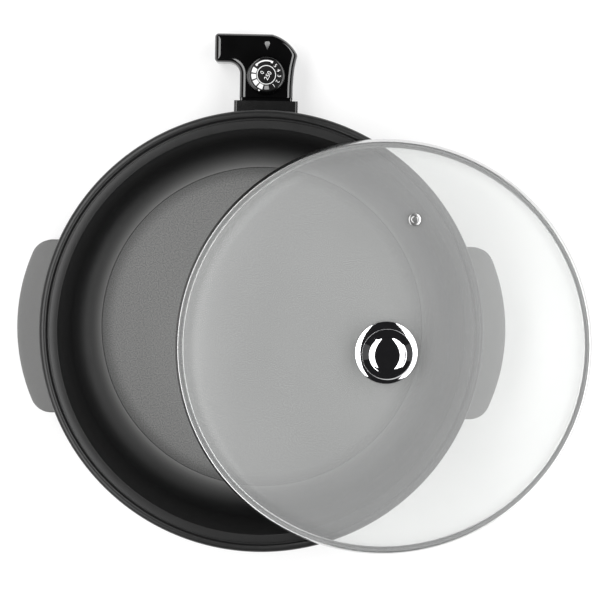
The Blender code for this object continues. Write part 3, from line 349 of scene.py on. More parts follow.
rim_coating = Finish("rim_coating", (0.03, 0.03, 0.03), 0.42, Specular_IOR_Level=0.5)
turning = rim_coating.grain(0.5 * MM, 2)
rim_coating.set("Roughness", 0.34 + 0.08 * rim_coating.grain(8 * MM, 3))
rim_coating.tint(turning.within(0.3, 0.7), (0.005, 0.005, 0.005), (0.014, 0.014, 0.014))
rim_coating.bump(turning, 0.02 * MM)

outline = plate + wall + rim + outside + under
zones = (len(plate), len(plate) + len(wall), len(plate) + len(wall) + len(rim))
pan_form = lathe(outline, 360, zones)
pan = show("pan_body", pan_form, [embossed, coating, rim_coating, coating], "base", "pan")


def carve(form, *cutters, operation="DIFFERENCE"):
    """The form less the cutters, or joined with them."""
    held = []
    for each in (form, *cutters):
        mesh = bpy.data.meshes.new("blank")
        bmesh.ops.recalc_face_normals(each, faces=each.faces)
        each.to_mesh(mesh)
        each.free()
        held.append(bpy.data.objects.new("blank", mesh))
        bpy.context.scene.collection.objects.link(held[-1])
    for cutter in held[1:]:
        change = held[0].modifiers.new("carve", "BOOLEAN")
        change.operation, change.solver, change.object = operation, "EXACT", cutter
    bpy.context.view_layer.update()
    result = bmesh.new()
    result.from_object(held[0], bpy.context.evaluated_depsgraph_get())
    for each in held:
        bpy.data.meshes.remove(each.data)
    return result


def shifted(form, at=(0, 0, 0), turn=None):
    form.transform(Matrix.Translation(at) @ (turn or Matrix.Identity(3)).to_4x4())
    return form


def group(*forms):
    """Several forms in one mesh, each still a body of its own."""
    whole = bmesh.new()
    for form in forms:
        mesh = bpy.data.meshes.new("group")
        form.to_mesh(mesh)
        form.free()
        whole.from_mesh(mesh)
        bpy.data.meshes.remove(mesh)
    return whole


def loft(layers):
    """A solid through outlines of as many points each, given as (outline, height)."""
    form = bmesh.new()
    rings = [[form.verts.new((x, y, height)) for x, y in outline] for outline, height in layers]
    for low, high in zip(rings, rings[1:]):
        for i in range(len(low)):
            k = (i + 1) % len(low)
            form.faces.new((low[i], low[k], high[k], high[i]))
    form.faces.new(rings[0][::-1])
    form.faces.new(rings[-1])
    return form


def pressed(outline_at, low, high, round_top, round_low, steps=7):
    """A solid whose top and bottom edges are rounded by stacking insets of its outline."""
    turns = [math.radians(90 * i / steps) for i in range(steps + 1)]
    layers = [
        (outline_at(round_low * (1 - math.sin(t))), low + round_low * (1 - math.cos(t))) for t in turns
    ]
    layers += [
        (outline_at(round_top * (1 - math.cos(t))), high - round_top * (1 - math.sin(t))) for t in turns
    ]
    return loft(layers)


def rounded(corners, steps=8):
    """An outline of (x, y, corner radius) corners, each corner swept as an arc."""
    outline = []
    for i, (x, y, radius) in enumerate(corners):
        here = Vector((x, y))
        if not radius:
            outline.append((x, y))
            continue
        back = (Vector(corners[i - 1][:2]) - here).normalized()
        on = (Vector(corners[(i + 1) % len(corners)][:2]) - here).normalized()
        half = back.angle(on) / 2
        centre = here + (back + on).normalized() * radius / math.sin(half)
        first = here + back * radius / math.tan(half) - centre
        last = here + on * radius / math.tan(half) - centre
        sweep = first.angle_signed(last)
        for k in range(steps + 1):
            spoke = first.copy()
            spoke.rotate(Matrix.Rotation(-sweep * k / steps, 2))
            outline.append(tuple(centre + spoke))
    return outline


def block_outline(half, near, far, corner):
    """Plan of a block with round corners, symmetrical about Y."""
    return lambda inset: rounded(
        [
            (-half + inset, near + inset, max(corner - inset, 0.3 * MM)),
            (half - inset, near + inset, max(corner - inset, 0.3 * MM)),
            (half - inset, far - inset, max(corner - inset, 0.3 * MM)),
            (-half + inset, far - inset, max(corner - inset, 0.3 * MM)),
        ],
        6,
    )


block_half, block_near, block_far = 28.25 * MM, 100 * MM, 168 * MM
block_plan = block_outline(block_half, block_near, block_far, 3 * MM)
block = pressed(block_plan, block_low, underside + 0.4 * MM, 0, 2 * MM)
show("terminal_block", block, coating, "base", "pan")

leg_ring = 145 * MM
boss_height, boss_radius, boss_bore = 4 * MM, 7 * MM, 2.4 * MM
leg_places = [Vector((leg_ring, 0, 0)).xyz for _ in range(4)]
for i, spot in enumerate(leg_places):
    spot.rotate(Matrix.Rotation(math.radians(45 + 90 * i), 3, "Z"))
boss = [
    (boss_bore, underside), (boss_radius, underside),
    (boss_radius, underside - boss_height), (boss_bore, underside - boss_height),
]
bosses = group(*[shifted(lathe(boss, 48), spot) for spot in leg_places])
show("leg_bosses", bosses, coating, "base", "pan")

lug_top, lug_thickness, lug_half, lug_reach = 18 * MM, 5 * MM, 6 * MM, 213 * MM
lug_near, lug_screw_radius, lug_turn = 190.5 * MM, 205 * MM, 13.3
lug_turns = [lug_turn, -lug_turn, 180 + lug_turn, 180 - lug_turn]
spins = [Matrix.Rotation(math.radians(turn), 3, "Z") for turn in lug_turns]
lugs = []
for spin in spins:
    plan = block_outline(lug_half, lug_near, lug_reach, 2 * MM)
    lug = shifted(pressed(plan, lug_top - lug_thickness, lug_top, 0.6 * MM, 0.6 * MM, 3))
    lugs.append(shifted(lug, turn=spin @ Matrix.Rotation(math.radians(-90), 3, "Z")))
show("handle_lugs", group(*lugs), coating, "base", "pan")

# ------------------------------------------------------------------ side handles
# Two moulded grips of charcoal thermoset, hollow underneath, each screwed from below to two lugs on
# the pan's wall. The skin is a fine matt spark texture, and the edges are softly rounded.
grip_top, grip_thickness, grip_wall, grip_edge = 26 * MM, 16 * MM, 4 * MM, 2 * MM
grip_reach, grip_length, grip_arc, grip_corner = 235.5 * MM, 167 * MM, 182 * MM, 20 * MM
post_radius = 5 * MM
fit = 0.4 * MM
grip_plastic = Finish("charcoal_plastic", (0.19, 0.19, 0.188), 0.55, Specular_IOR_Level=0.45)
spark = grip_plastic.grain(0.35 * MM, 2)
grip_plastic.set("Roughness", 0.50 + 0.12 * grip_plastic.grain(6 * MM, 3))
grip_plastic.tint(spark.within(0.25, 0.75), (0.160, 0.160, 0.158), (0.192, 0.192, 0.190))
grip_plastic.bump(spark, 0.03 * MM)


def grip_outline(inset):
    """Plan of the right grip: a bowed outer edge between two round corners."""
    half, corner, radius = grip_length / 2 - inset, grip_corner - inset, grip_arc - inset
    middle = grip_reach - grip_arc
    centre_y = half - corner
    centre_x = middle + math.sqrt((radius - corner) ** 2 - centre_y**2)
    turn = math.degrees(math.atan2(centre_y, centre_x - middle))
    upper = arc(centre_x, centre_y, corner, turn, 90, 14)
    edge_arc = arc(middle, 0, radius, -turn, turn, 60)[1:-1]
    inner = ledge_inner - 30 * MM
    return [(inner, -half), *[(x, -y) for x, y in reversed(upper)], *edge_arc, *upper, (inner, half)]


def outside_tool(grow, low, high):
    """The pan's outside, grown, as a solid to cut by."""
    profile = pan_outside(grow)
    rise = [(profile[-1][0], high)] if high > profile[-1][1] else []
    return lathe([(0, low), (profile[0][0], low), *profile, *rise, (0, high)], 240)


def rod(radius, low, high, steps=48):
    """A plain round bar along Z, mostly to cut by."""
    return lathe([(0, low), (radius, low), (radius, high), (0, high)], steps)


def round_spot(radius, degrees):
    """A place on a circle round the pan's axis."""
    return radius * math.cos(math.radians(degrees)), radius * math.sin(math.radians(degrees)), 0


for side, word in ((0, "right"), (180, "left")):
    hollow = pressed(
        lambda inset: grip_outline(grip_wall + inset), grip_top - 40 * MM, grip_top - grip_wall, 2 * MM, 0
    )
    hollow = carve(hollow, outside_tool(fit + grip_wall, underside - 30 * MM, rim_z))
    grip = pressed(grip_outline, grip_top - grip_thickness, grip_top, grip_edge, 1 * MM)
    grip = carve(grip, outside_tool(fit, underside - 1 * MM, rim_z + 20 * MM), hollow)
    posts = []
    for turn in (lug_turn, -lug_turn):
        post = rod(post_radius, lug_top + 0.3 * MM, grip_top - 3 * MM, 40)
        posts.append(shifted(post, round_spot(lug_screw_radius, turn)))
    grip = carve(grip, group(*posts), operation="UNION")
    grip = shifted(grip, turn=Matrix.Rotation(math.radians(side), 3, "Z"))
    show(f"{word}_grip", grip, grip_plastic, "base", f"{word}_handle")

# ------------------------------------------------------------------ terminal guard
# A sleeve of thin steel, folded to a rounded box and painted satin black, that keeps fingers off the
# terminals. It is cut to the pan's curve and held by two screws into the block from below.
guard_half, guard_low, guard_high = 30.75 * MM, -20 * MM, 12.5 * MM
guard_near, guard_far, guard_sheet, guard_round = 158 * MM, 220.5 * MM, 1.5 * MM, 3 * MM
along_y = Matrix.Rotation(math.radians(-90), 3, "X")
guard_paint = Finish("satin_black_paint", (0.010, 0.010, 0.010), 0.22, Specular_IOR_Level=0.6)
orange_peel = guard_paint.grain(0.8 * MM, 3)
guard_paint.set("Roughness", 0.18 + 0.08 * guard_paint.grain(7 * MM, 3))
guard_paint.tint(orange_peel.within(0.3, 0.7), (0.008, 0.008, 0.008), (0.013, 0.013, 0.013))
guard_paint.bump(orange_peel, 0.02 * MM)


def section(half, low, high, corner):
    """A rounded rectangle in X and Z that is drawn along Y, as an outline for an inset."""
    def outline_at(inset):
        wide, top, bottom = half - inset, high - inset, low + inset
        corners = ((-wide, top), (wide, top), (wide, bottom), (-wide, bottom))
        return rounded([(x, -z, max(corner - inset, 0.4 * MM)) for x, z in corners], 8)

    return outline_at


def sleeve(half, low, high, corner, near, far, edge_round, end_round):
    """A bar of a rounded section along Y."""
    bar = pressed(section(half, low, high, corner), near, far, end_round, edge_round, 4)
    return shifted(bar, turn=along_y)


guard = sleeve(
    guard_half, guard_low, guard_high, guard_round, guard_near, guard_far, 0.1 * MM, 0.4 * MM
)
inner = sleeve(
    guard_half - guard_sheet, guard_low + guard_sheet, guard_high - guard_sheet,
    guard_round - guard_sheet, guard_near - 9 * MM, guard_far + 9 * MM, 0, 0,
)
guard = carve(guard, inner, outside_tool(fit, underside - fit, rim_z + 20 * MM))
show("guard", guard, guard_paint, "base", "terminal_guard")

# ------------------------------------------------------------------ element ends
# The tube of the cast-in element ends in ceramic seals, from which two nickel-plated pins stand out
# for the controller to plug on to. A ceramic plate closes the guard round them.
pin_x, pin_z, pin_radius = 13 * MM, -10 * MM, 2.5 * MM
tube_end, seal_length, pin_end = 182 * MM, 4 * MM, 210 * MM
seal_radius, bead = 4 * MM, 0.5 * MM
gap = 0.3 * MM
bright_steel = Finish("bright_steel", (0.62, 0.62, 0.61), 0.22, 1.0)
drawing = bright_steel.grain(0.5 * MM, 2, (1, 0.05, 1))
bright_steel.set("Roughness", 0.16 + 0.14 * drawing)
bright_steel.tint(drawing.within(0.2, 0.8), (0.56, 0.56, 0.55), (0.68, 0.68, 0.67))
bright_steel.bump(drawing, 0.004 * MM)
ceramic = Finish("white_ceramic", (0.78, 0.76, 0.71), 0.5)
bisque = ceramic.grain(0.6 * MM, 3)
ceramic.set("Roughness", 0.42 + 0.2 * ceramic.grain(4 * MM, 2))
ceramic.tint(bisque.within(0.25, 0.75), (0.70, 0.68, 0.63), (0.82, 0.80, 0.75))
ceramic.bump(bisque, 0.02 * MM)
for side, word in ((-1, "left"), (1, "right")):
    start = tube_end + gap
    pin = [
        (0, start), (pin_radius, start), (pin_radius, pin_end - 2 * MM),
        *arc(0.6 * MM, pin_end - 2 * MM, 1.9 * MM, 0, 90, 6), (0, pin_end),
    ]
    at = (side * pin_x, 0, pin_z)
    pin_form = shifted(lathe(pin, 48), turn=along_y)
    show(f"pin_{word}", pin_form, bright_steel, "base", f"terminal_pin_{word}", at)
    seal = [
        (pin_radius + gap, start), *arc(seal_radius - bead, start + bead, bead, -90, 0, 4),
        *arc(seal_radius - bead, start + seal_length - bead, bead, 0, 90, 4),
        (pin_radius + gap, start + seal_length),
    ]
    seal_form = shifted(lathe(seal, 48), turn=along_y)
    show(f"seal_{word}", seal_form, ceramic, "base", f"element_end_seal_{word}", at)

# ------------------------------------------------------------------ legs
# Four bakelite legs screwed to bosses on the underside, each with a rubber pad pressed into its foot.
leg_top, leg_foot_radius, leg_top_radius = underside - gap, 10 * MM, 12.5 * MM
floor_z, pad_thickness = cad_box[0][2], 1.2 * MM
leg_low = floor_z + pad_thickness + gap
bakelite = Finish("bakelite", (0.02, 0.02, 0.02), 0.45)
marbling = bakelite.grain(3 * MM, 4)
bakelite.set("Roughness", 0.38 + 0.16 * marbling)
bakelite.tint(marbling.within(0.2, 0.8), (0.017, 0.017, 0.017), (0.028, 0.027, 0.026))
bakelite.bump(bakelite.grain(0.6 * MM, 2), 0.015 * MM)
rubber = Finish("rubber", (0.03, 0.03, 0.03), 0.8)
dust = rubber.grain(0.8 * MM, 3)
rubber.set("Roughness", 0.70 + 0.2 * dust)
rubber.tint(dust.within(0.2, 0.8), (0.024, 0.024, 0.024), (0.045, 0.045, 0.045))
rubber.bump(dust, 0.03 * MM)
recess = boss_radius + gap + 0.2 * MM
leg = [
    (recess, leg_top),
    *arc(leg_top_radius - 0.7 * MM, leg_top - 0.7 * MM, 0.7 * MM, 90, 0, 5),
    (leg_top_radius - 0.9 * MM, leg_top - 6 * MM),
    *arc(leg_foot_radius - 0.8 * MM, leg_low + 0.8 * MM, 0.8 * MM, 0, -90, 5),
    (recess, leg_low),
]
foot_pad = [
    (0, floor_z + 0.05 * MM),
    (3 * MM, floor_z),
    *[(radius * MM, floor_z + (0.4 * MM if radius in (5, 5.6) else 0)) for radius in (4.6, 5, 5.6, 6, 8)],
    *arc(leg_foot_radius - 1.2 * MM, floor_z + 0.8 * MM, 0.8 * MM, -90, 0, 5),
    (leg_foot_radius - 0.4 * MM, floor_z + pad_thickness),
    (0, floor_z + pad_thickness),
]
for spot, word in zip(leg_places, ("rear_right", "rear_left", "front_left", "front_right")):
    show(f"leg_of_{word}", lathe(leg, 72), bakelite, "base", f"leg_{word}", spot)
    show(f"pad_of_{word}", lathe(foot_pad, 72), rubber, "base", f"foot_pad_{word}", spot)

# ------------------------------------------------------------------ controller
# The plug-in thermostat controller: a gloss black casing in two halves that meet on a fine line low
# on the side. Its neck slides into the guard, and an arm to the left carries the cord's bush.
along_x = Matrix.Rotation(math.radians(90), 3, "Y")
dial_y, body_low, body_high, parting = 244.5 * MM, -20.3 * MM, 13.5 * MM, -10 * MM
body_half, body_back, body_near = 25.55 * MM, 39.7 * MM, -22 * MM
shoulder_x, shoulder_y = 29.45 * MM, 17 * MM
arm_reach, arm_front, arm_fillet, arm_corner = 49.95 * MM, 12.3 * MM, 11 * MM, 3.6 * MM
body_edge = 6.4 * MM
neck_half, neck_near, neck_low, neck_high = 25.25 * MM, 190 * MM, -17.8 * MM, 10.3 * MM
gloss = Finish("gloss_black", (0.002, 0.002, 0.002), 0.08, Specular_IOR_Level=0.95)
flow = gloss.grain(18 * MM, 3)
gloss.set("Roughness", 0.05 + 0.05 * flow)
gloss.tint(flow.within(0.2, 0.8), (0.0018, 0.0018, 0.0018), (0.0028, 0.0028, 0.0029))
gloss.bump(gloss.grain(9 * MM, 2), 0.002 * MM)


def bowed(start, end, rise, steps):
    """Points on the arc from start to end that bows out by `rise` to the right of the way."""
    a, b = Vector(start), Vector(end)
    half = (b - a).length / 2
    radius = (half * half + rise * rise) / (2 * rise)
    on = (b - a).normalized()
    right = Vector((on.y, -on.x))
    centre = (a + b) / 2 - right * (radius - rise)
    reach = math.asin(half / radius)
    turns = [-reach + 2 * reach * i / steps for i in range(steps + 1)]
    return [tuple(centre + right * radius * math.cos(t) + on * radius * math.sin(t)) for t in turns]


def casing_outline(inset):
    """Plan of the casing round the dial's axis."""
    half, near, back = body_half - inset, body_near + min(inset, 1.2 * MM), body_back - inset
    corner = max(arm_corner - inset, 0.8 * MM)
    arm, front = -arm_reach + inset, arm_front + inset
    right = [
        (half, near), (half, near * 0.5), (half + 0.6 * MM, 0), (half + 1.5 * MM, shoulder_y * 0.5),
        (shoulder_x - inset - 0.6 * MM, shoulder_y), (shoulder_x - inset, shoulder_y + 2 * MM),
    ]
    crown_start = (shoulder_x - inset * 0.95 - 0.3 * MM, shoulder_y + 4 * MM)
    crown = bowed(crown_start, (5 * MM, back), 3.2 * MM, 20)
    left = rounded(
        [
            (arm, back, corner), (arm, front, corner), (-half, front, arm_fillet + inset),
            (-half, near, 0), (half, near, 0), (5 * MM, back, 0),
        ],
        10,
    )[:-2]
    return right + crown + left


arm_y, bush_z = dial_y + (body_back + arm_front) / 2, -3 * MM
bush_seat_radius, sink_radius = 6.3 * MM, 3.4 * MM
plug_holes = ((-pin_x, pin_radius + 0.8 * MM), (0, 3.6 * MM), (pin_x, pin_radius + 0.8 * MM))
casing_screws = ((17.2 * MM, -12.5 * MM), (-33 * MM, 30 * MM))
for word, upper in (("upper", True), ("lower", False)):
    body = shifted(pressed(casing_outline, body_low, body_high, body_edge, 2 * MM, 9), (0, dial_y, 0))
    neck_far = dial_y + body_near + 4 * MM
    neck = sleeve(neck_half, neck_low, neck_high, 2.4 * MM, neck_near, neck_far, 0.8 * MM, 0)
    half = carve(body, neck, operation="UNION")
    cut_low, cut_high = (-0.1, parting + gap / 2) if upper else (parting - gap / 2, 0.1)
    other = loft([([(-0.1, 0.1), (0.1, 0.1), (0.1, 0.4), (-0.1, 0.4)], z) for z in (cut_low, cut_high)])
    holes = [other]
    for x, radius in plug_holes:
        way = rod(radius, neck_near - 3 * MM, neck_near + 26 * MM, 40)
        holes.append(shifted(way, (x, 0, pin_z), along_y))
    if upper:
        seat = rod(bush_seat_radius, -arm_reach - 5 * MM, -arm_reach + 7.6 * MM)
        holes.append(shifted(seat, (0, arm_y, bush_z), along_x))
    else:
        for x, y in casing_screws:
            sink = rod(sink_radius, body_low - 5 * MM, body_low + 2.4 * MM, 40)
            holes.append(shifted(sink, (x, dial_y + y, 0)))
    for hole in holes:
        half = carve(half, hole)
    show(
        f"casing_{word}", half, gloss, "controller", f"controller_{word}_shell",
        sharp=28,
    )

# Pointer: a smoked lens let into the casing over the pilot lamp, a slim triangle that points at the
# dial. Its light end is away from the dial.
pointer_x, pointer_near, pointer_far = 0.4 * MM, 24.4 * MM, 32.4 * MM
smoked = Finish("smoked_lens", (0.2, 0.2, 0.2), 0.2)
ramp = Value(smoked, smoked.node("SeparateXYZ", None, smoked.place()).outputs["Y"])
ramp = ramp.within(dial_y + pointer_near, dial_y + pointer_far - 1 * MM)
smoked.tint(ramp, (0.05, 0.05, 0.05), (0.24, 0.24, 0.24))
smoked.set("Roughness", 0.16 + 0.12 * smoked.grain(2 * MM, 2))


def pointer_outline(inset):
    """Plan of the pointer: a slim triangle with its tip at the dial."""
    wide = 2.6 * MM - inset
    near, far = pointer_near + inset * 2, pointer_far - inset
    return [(pointer_x + x, dial_y + y) for x, y in (
        (0, near), (wide, far - 2 * MM), (wide * 0.85, far - 0.7 * MM), (wide * 0.55, far),
        (-wide * 0.55, far), (-wide * 0.85, far - 0.7 * MM), (-wide, far - 2 * MM)
    )]


pointer = pressed(pointer_outline, body_high - 0.5 * MM, body_high + 0.2 * MM, 0.15 * MM, 0, 3)
show("pointer", pointer, smoked, "controller", "pointer_window")

# Cord bush: a plain rubber ring set in the end of the arm, where a mains lead would go in.
bush_radius, bush_bore, bush_length, lip = 6 * MM, 3.8 * MM, 7.8 * MM, 0.6 * MM
bush = [
    (bush_bore, 0),
    *arc(bush_radius - lip, lip, lip, -90, 0, 5),
    (bush_radius, bush_length),
    (bush_bore, bush_length),
]
bush_at = (-arm_reach + 0.2 * MM, arm_y, bush_z)
bush_form = shifted(lathe(bush, 72), turn=along_x)
show("bush", bush_form, rubber, "controller", "cord_bush", bush_at)

# Probe: a closed stainless tube that reaches through the block to feel the pan's heat.
probe_radius, probe_near, probe_far = 3.25 * MM, 95 * MM, 214 * MM
probe = [
    (0, probe_near), *arc(0, probe_near + probe_radius, probe_radius, -90, 0, 8),
    (probe_radius, probe_far), (0, probe_far),
]
probe_form = shifted(lathe(probe, 56), (0, 0, pin_z), along_y)
show("probe", probe_form, bright_steel, "controller", "temperature_probe")

# ------------------------------------------------------------------ dial
# A low gloss knob on the casing with a printed disc let into its top. The print is a heat scale: a
# fine ring, a sweep, four blocks that stand for the settings, and plain numbers.
dial_radius, dial_top_radius, dial_low, dial_high = 18.9 * MM, 16.6 * MM, 13.8 * MM, 23.8 * MM
face_radius, face_low, face_high = 15.6 * MM, 23 * MM, 23.6 * MM
dial_at = (0, dial_y, 0)
dial_form = [
    (3.3 * MM, dial_low),
    *arc(dial_radius - 0.6 * MM, dial_low + 0.6 * MM, 0.6 * MM, -90, 0, 4),
    (dial_top_radius + 0.5 * MM, dial_high - 1.6 * MM),
    *arc(dial_top_radius - 0.8 * MM, dial_high - 1.2 * MM, 1.2 * MM, 10, 80, 8),
    (face_radius + 0.35 * MM, dial_high),
    (face_radius + gap, dial_high - 0.1 * MM),
    (face_radius + gap, face_low - gap),
    (3.3 * MM, face_low - gap),
]
show("dial_knob", lathe(dial_form, 180), gloss, "dial", "dial", dial_at)

scale_print = Finish("dial_print", (0.01, 0.01, 0.01), 0.3)
spot = scale_print.node("VectorMath", {"operation": "SUBTRACT"}, scale_print.place(), dial_at)
parts = scale_print.node("SeparateXYZ", None, spot.outputs[0]).outputs
east, north = Value(scale_print, parts["X"]), Value(scale_print, parts["Y"])
radius = (east * east + north * north) ** 0.5
bearing = north.maths("ARCTAN2", north, east) * (180 / math.pi)
soft = 0.12 * MM


def ring(low, high):
    """1 between two radii of the disc."""
    return radius.within(low - soft, low + soft) * (1 - radius.within(high - soft, high + soft))


def sector(middle, width):
    """1 within a sector of the disc, in degrees."""
    off = (bearing - (middle - 180)).maths("FLOORED_MODULO", bearing - (middle - 180), 360) - 180
    return 1 - off.maths("ABSOLUTE", off).within(width / 2 - 0.8, width / 2 + 0.8)


fine_ring = ring(8.5 * MM, 9.15 * MM)
sweep = ring(12.9 * MM, 14.1 * MM) * sector(101, 74)
for middle, width in ((67, 8), (135, 8)):
    sweep = sweep.maths("MAXIMUM", sweep, ring(12.2 * MM, 14.3 * MM) * sector(middle, width))
blocks = ring(9.9 * MM, 14.3 * MM) * sector(160, 22)
for middle in (188, 216, 244):
    blocks = blocks.maths("MAXIMUM", blocks, ring(9.9 * MM, 14.3 * MM) * sector(middle, 22))
pale = fine_ring.maths("MAXIMUM", fine_ring.maths("MAXIMUM", fine_ring, sweep), blocks)
grey = ring(10.3 * MM, 13.9 * MM) * sector(272, 20)
print_mask = pale.maths("MAXIMUM", pale, grey * 0.35)
scale_print.tint(print_mask, (0.008, 0.008, 0.008), (0.80, 0.80, 0.80))
scale_print.set("Roughness", 0.26 + 0.18 * print_mask)
disc_edge = 0.2 * MM
disc = [
    (0, face_low), (face_radius, face_low),
    *arc(face_radius - disc_edge, face_high - disc_edge, disc_edge, 0, 90, 3), (0, face_high),
]
show("dial_disc", lathe(disc, 180), scale_print, "dial", "dial_face", dial_at)

white_ink = Finish("white_ink", (0.8, 0.8, 0.8), 0.45)
white_ink.tint(white_ink.grain(0.4 * MM, 2), (0.74, 0.74, 0.74), (0.84, 0.84, 0.84))
white_ink.set("Roughness", 0.40 + 0.15 * white_ink.grain(1 * MM, 2))


def numeral(name, text, size, distance, bearing_of, lean, height):
    """A printed number on the dial, a hair proud of it."""
    letters = bpy.data.curves.new(name, "FONT")
    letters.body, letters.size = text, size
    letters.align_x = letters.align_y = "CENTER"
    letters.extrude = 0.01 * MM
    holder = bpy.data.objects.new(name, letters)
    bpy.context.scene.collection.objects.link(holder)
    bpy.context.view_layer.update()
    form = bmesh.new()
    form.from_mesh(holder.to_mesh())
    holder.to_mesh_clear()
    bpy.data.objects.remove(holder)
    turn = math.radians(bearing_of)
    at = (distance * math.cos(turn), dial_y + distance * math.sin(turn), height)
    lean_turn = Matrix.Rotation(math.radians(lean), 3, "Z")
    show(name, form, white_ink, "dial", None, at, lean_turn)


ink_z = face_high + 0.02 * MM
for i, number in enumerate("54321"):
    around = 46 - 25 * i
    numeral(f"scale_number_{number}", number, 4.8 * MM, 12.2 * MM, around, around - 90, ink_z)
numeral("scale_low", "0", 5.2 * MM, 4.4 * MM, 152, 62, ink_z)
numeral("scale_high", "250", 6.0 * MM, 1.8 * MM, -28, 62, ink_z)
tick_long, tick_wide = 0.9 * MM, 0.5 * MM
tick_plan = [
    (-tick_long, -tick_wide), (tick_long, -tick_wide), (tick_long, tick_wide), (-tick_long, tick_wide)
]
tick = loft([(tick_plan, z) for z in (0, 0.03 * MM)])
tick_turn = Matrix.Rotation(math.radians(-24), 3, "Z")
tick_at = (-6.8 * MM, dial_y - 14.7 * MM, dial_high - 0.02 * MM)
show("dial_tick", tick, white_ink, "dial", None, tick_at, tick_turn)

# ------------------------------------------------------------------ lid
# A shallow dome of toughened glass whose edge turns down in a tight shoulder, held in a rolled band
# of polished steel. It lies on the rim, slid part of the way off to the right.
lid_x, lid_y = 116 * math.cos(math.radians(-5.8)) * MM, 116 * math.sin(math.radians(-5.8)) * MM
lid_z = rim_z + gap
lid_radius, glass_thickness, band_sheet = 196.7 * MM, 4 * MM, 0.8 * MM
bend_radius, bend_start, bend_end, band_angle = 28 * MM, 9, 75, 14
bend_x = lid_radius - (bend_radius + gap + band_sheet) * math.sin(math.radians(bend_end))
bend_z = band_sheet + gap - (bend_radius - glass_thickness) * math.cos(math.radians(bend_end))
dome = bend_radius + bend_x / math.sin(math.radians(bend_start))
dome_z = bend_z - (dome - bend_radius) * math.cos(math.radians(bend_start))
glass_top = dome_z + dome


def glass_line(depth):
    """A surface this deep in the glass, from the edge in to the axis."""
    shoulder = arc(bend_x, bend_z, bend_radius - depth, 90 - bend_end, 90 - bend_start, 26)
    return shoulder + arc(0, dome_z, dome - depth, 90 - bend_start, 90, 24)[1:]


class Glaze(Finish):
    """Clear glass with a thin veil: light goes straight through but for a share that is reflected."""

    def __init__(self, name, colour, roughness, tone, share):
        super().__init__(name, colour, roughness)
        clear = self.node("BsdfTransparent", None, Color=(*tone, 1))
        mix = self.node("MixShader")
        self.plug(mix.inputs[0], share)
        self.plug(mix.inputs[1], clear.outputs[0])
        self.plug(mix.inputs[2], self.shader.outputs[0])
        self.tree.links.new(mix.outputs[0], self.tree.nodes["Material Output"].inputs["Surface"])
        self.mix = mix


veil = Glaze("lid_glass", (0.92, 0.93, 0.93), 0.16, (0.93, 0.935, 0.93), 0.14)
haze = veil.grain(60 * MM, 2)
lid_at = (lid_x, lid_y, lid_z)
edge_shade = veil.reach(lid_at).ramp(110 * MM, lid_radius)
edge_glow = veil.reach(lid_at).ramp(lid_radius - 17 * MM, lid_radius - 2 * MM) ** 2
veil.plug(veil.mix.inputs[0], 0.135 + 0.02 * haze + 0.06 * edge_shade + 0.22 * edge_glow)
veil.tint(edge_shade, (0.90, 0.905, 0.905), (0.66, 0.665, 0.665))
veil.set("Roughness", 0.16 + 0.08 * veil.grain(25 * MM, 3))
line_out, line_in = glass_line(0), glass_line(glass_thickness)
glass_form = lathe(line_out + line_in[::-1], 300)
glass_form = carve(glass_form, rod(4 * MM, 0, 60 * MM))
show("glass", glass_form, veil, "lid", "lid_glass", lid_at, sharp=50)

band_steel = Finish("band_steel", (0.66, 0.66, 0.66), 0.14, 1.0)
rolling = band_steel.grain(0.6 * MM, 2, (1, 1, 0.1))
band_steel.set("Roughness", 0.22 + 0.12 * rolling)
band_steel.tint(rolling.within(0.2, 0.8), (0.58, 0.58, 0.58), (0.70, 0.70, 0.70))
band_steel.bump(rolling, 0.003 * MM)
over, below = bend_radius + gap, bend_radius - glass_thickness - gap
low_turn, high_turn = 90 - bend_end, 90 - bend_end + band_angle
band_outer = arc(bend_x, bend_z, over + band_sheet, low_turn, high_turn, 12)
band_outer_in = arc(bend_x, bend_z, over, high_turn, low_turn, 12)
band_inner = arc(bend_x, bend_z, below, low_turn, high_turn, 12)
band_inner_in = arc(bend_x, bend_z, below - band_sheet, high_turn, low_turn, 12)
band_line = [
    *band_outer, *band_outer_in, (band_outer_in[-1][0], band_sheet), (band_inner[0][0], band_sheet),
    *band_inner, *band_inner_in, (band_inner_in[-1][0], 0.5 * MM), (band_inner_in[-1][0] + 0.5 * MM, 0),
    *arc(band_outer[0][0] - 0.8 * MM, 0.8 * MM, 0.8 * MM, -90, 0, 5),
]
show("band", lathe(band_line, 300), band_steel, "lid", "lid_band", lid_at)

# Vent: a turned steel eyelet through the glass with a silicone washer under it.
vent_ring, vent_turn, vent_radius, vent_bore = 125 * MM, 79, 5.7 * MM, 2.2 * MM
tilt = math.asin(vent_ring / dome)
vent_x, vent_y, _ = round_spot(vent_ring, vent_turn)
vent_at = (lid_x + vent_x, lid_y + vent_y, lid_z + glass_top - dome * (1 - math.cos(tilt)))
vent_lean = Matrix.Rotation(math.radians(vent_turn), 3, "Z") @ Matrix.Rotation(tilt, 3, "Y")
eyelet_low, eyelet_bead = -glass_thickness - 2.2 * MM, 0.5 * MM
eyelet = [
    *arc(vent_bore + 0.5 * MM, eyelet_low + 0.5 * MM, 0.5 * MM, 180, 300, 5),
    (vent_bore + 1 * MM, gap), (vent_radius - 0.2 * MM, gap),
    *arc(vent_radius - eyelet_bead, gap + eyelet_bead, eyelet_bead, -60, 80, 8),
    (vent_bore + 1.8 * MM, gap + 1.25 * MM),
    *arc(vent_bore + 1.2 * MM, gap + 0.1 * MM, 1.2 * MM, 100, 180, 6),
]
show("eyelet", lathe(eyelet, 96), band_steel, "lid", "vent_eyelet", vent_at, vent_lean)

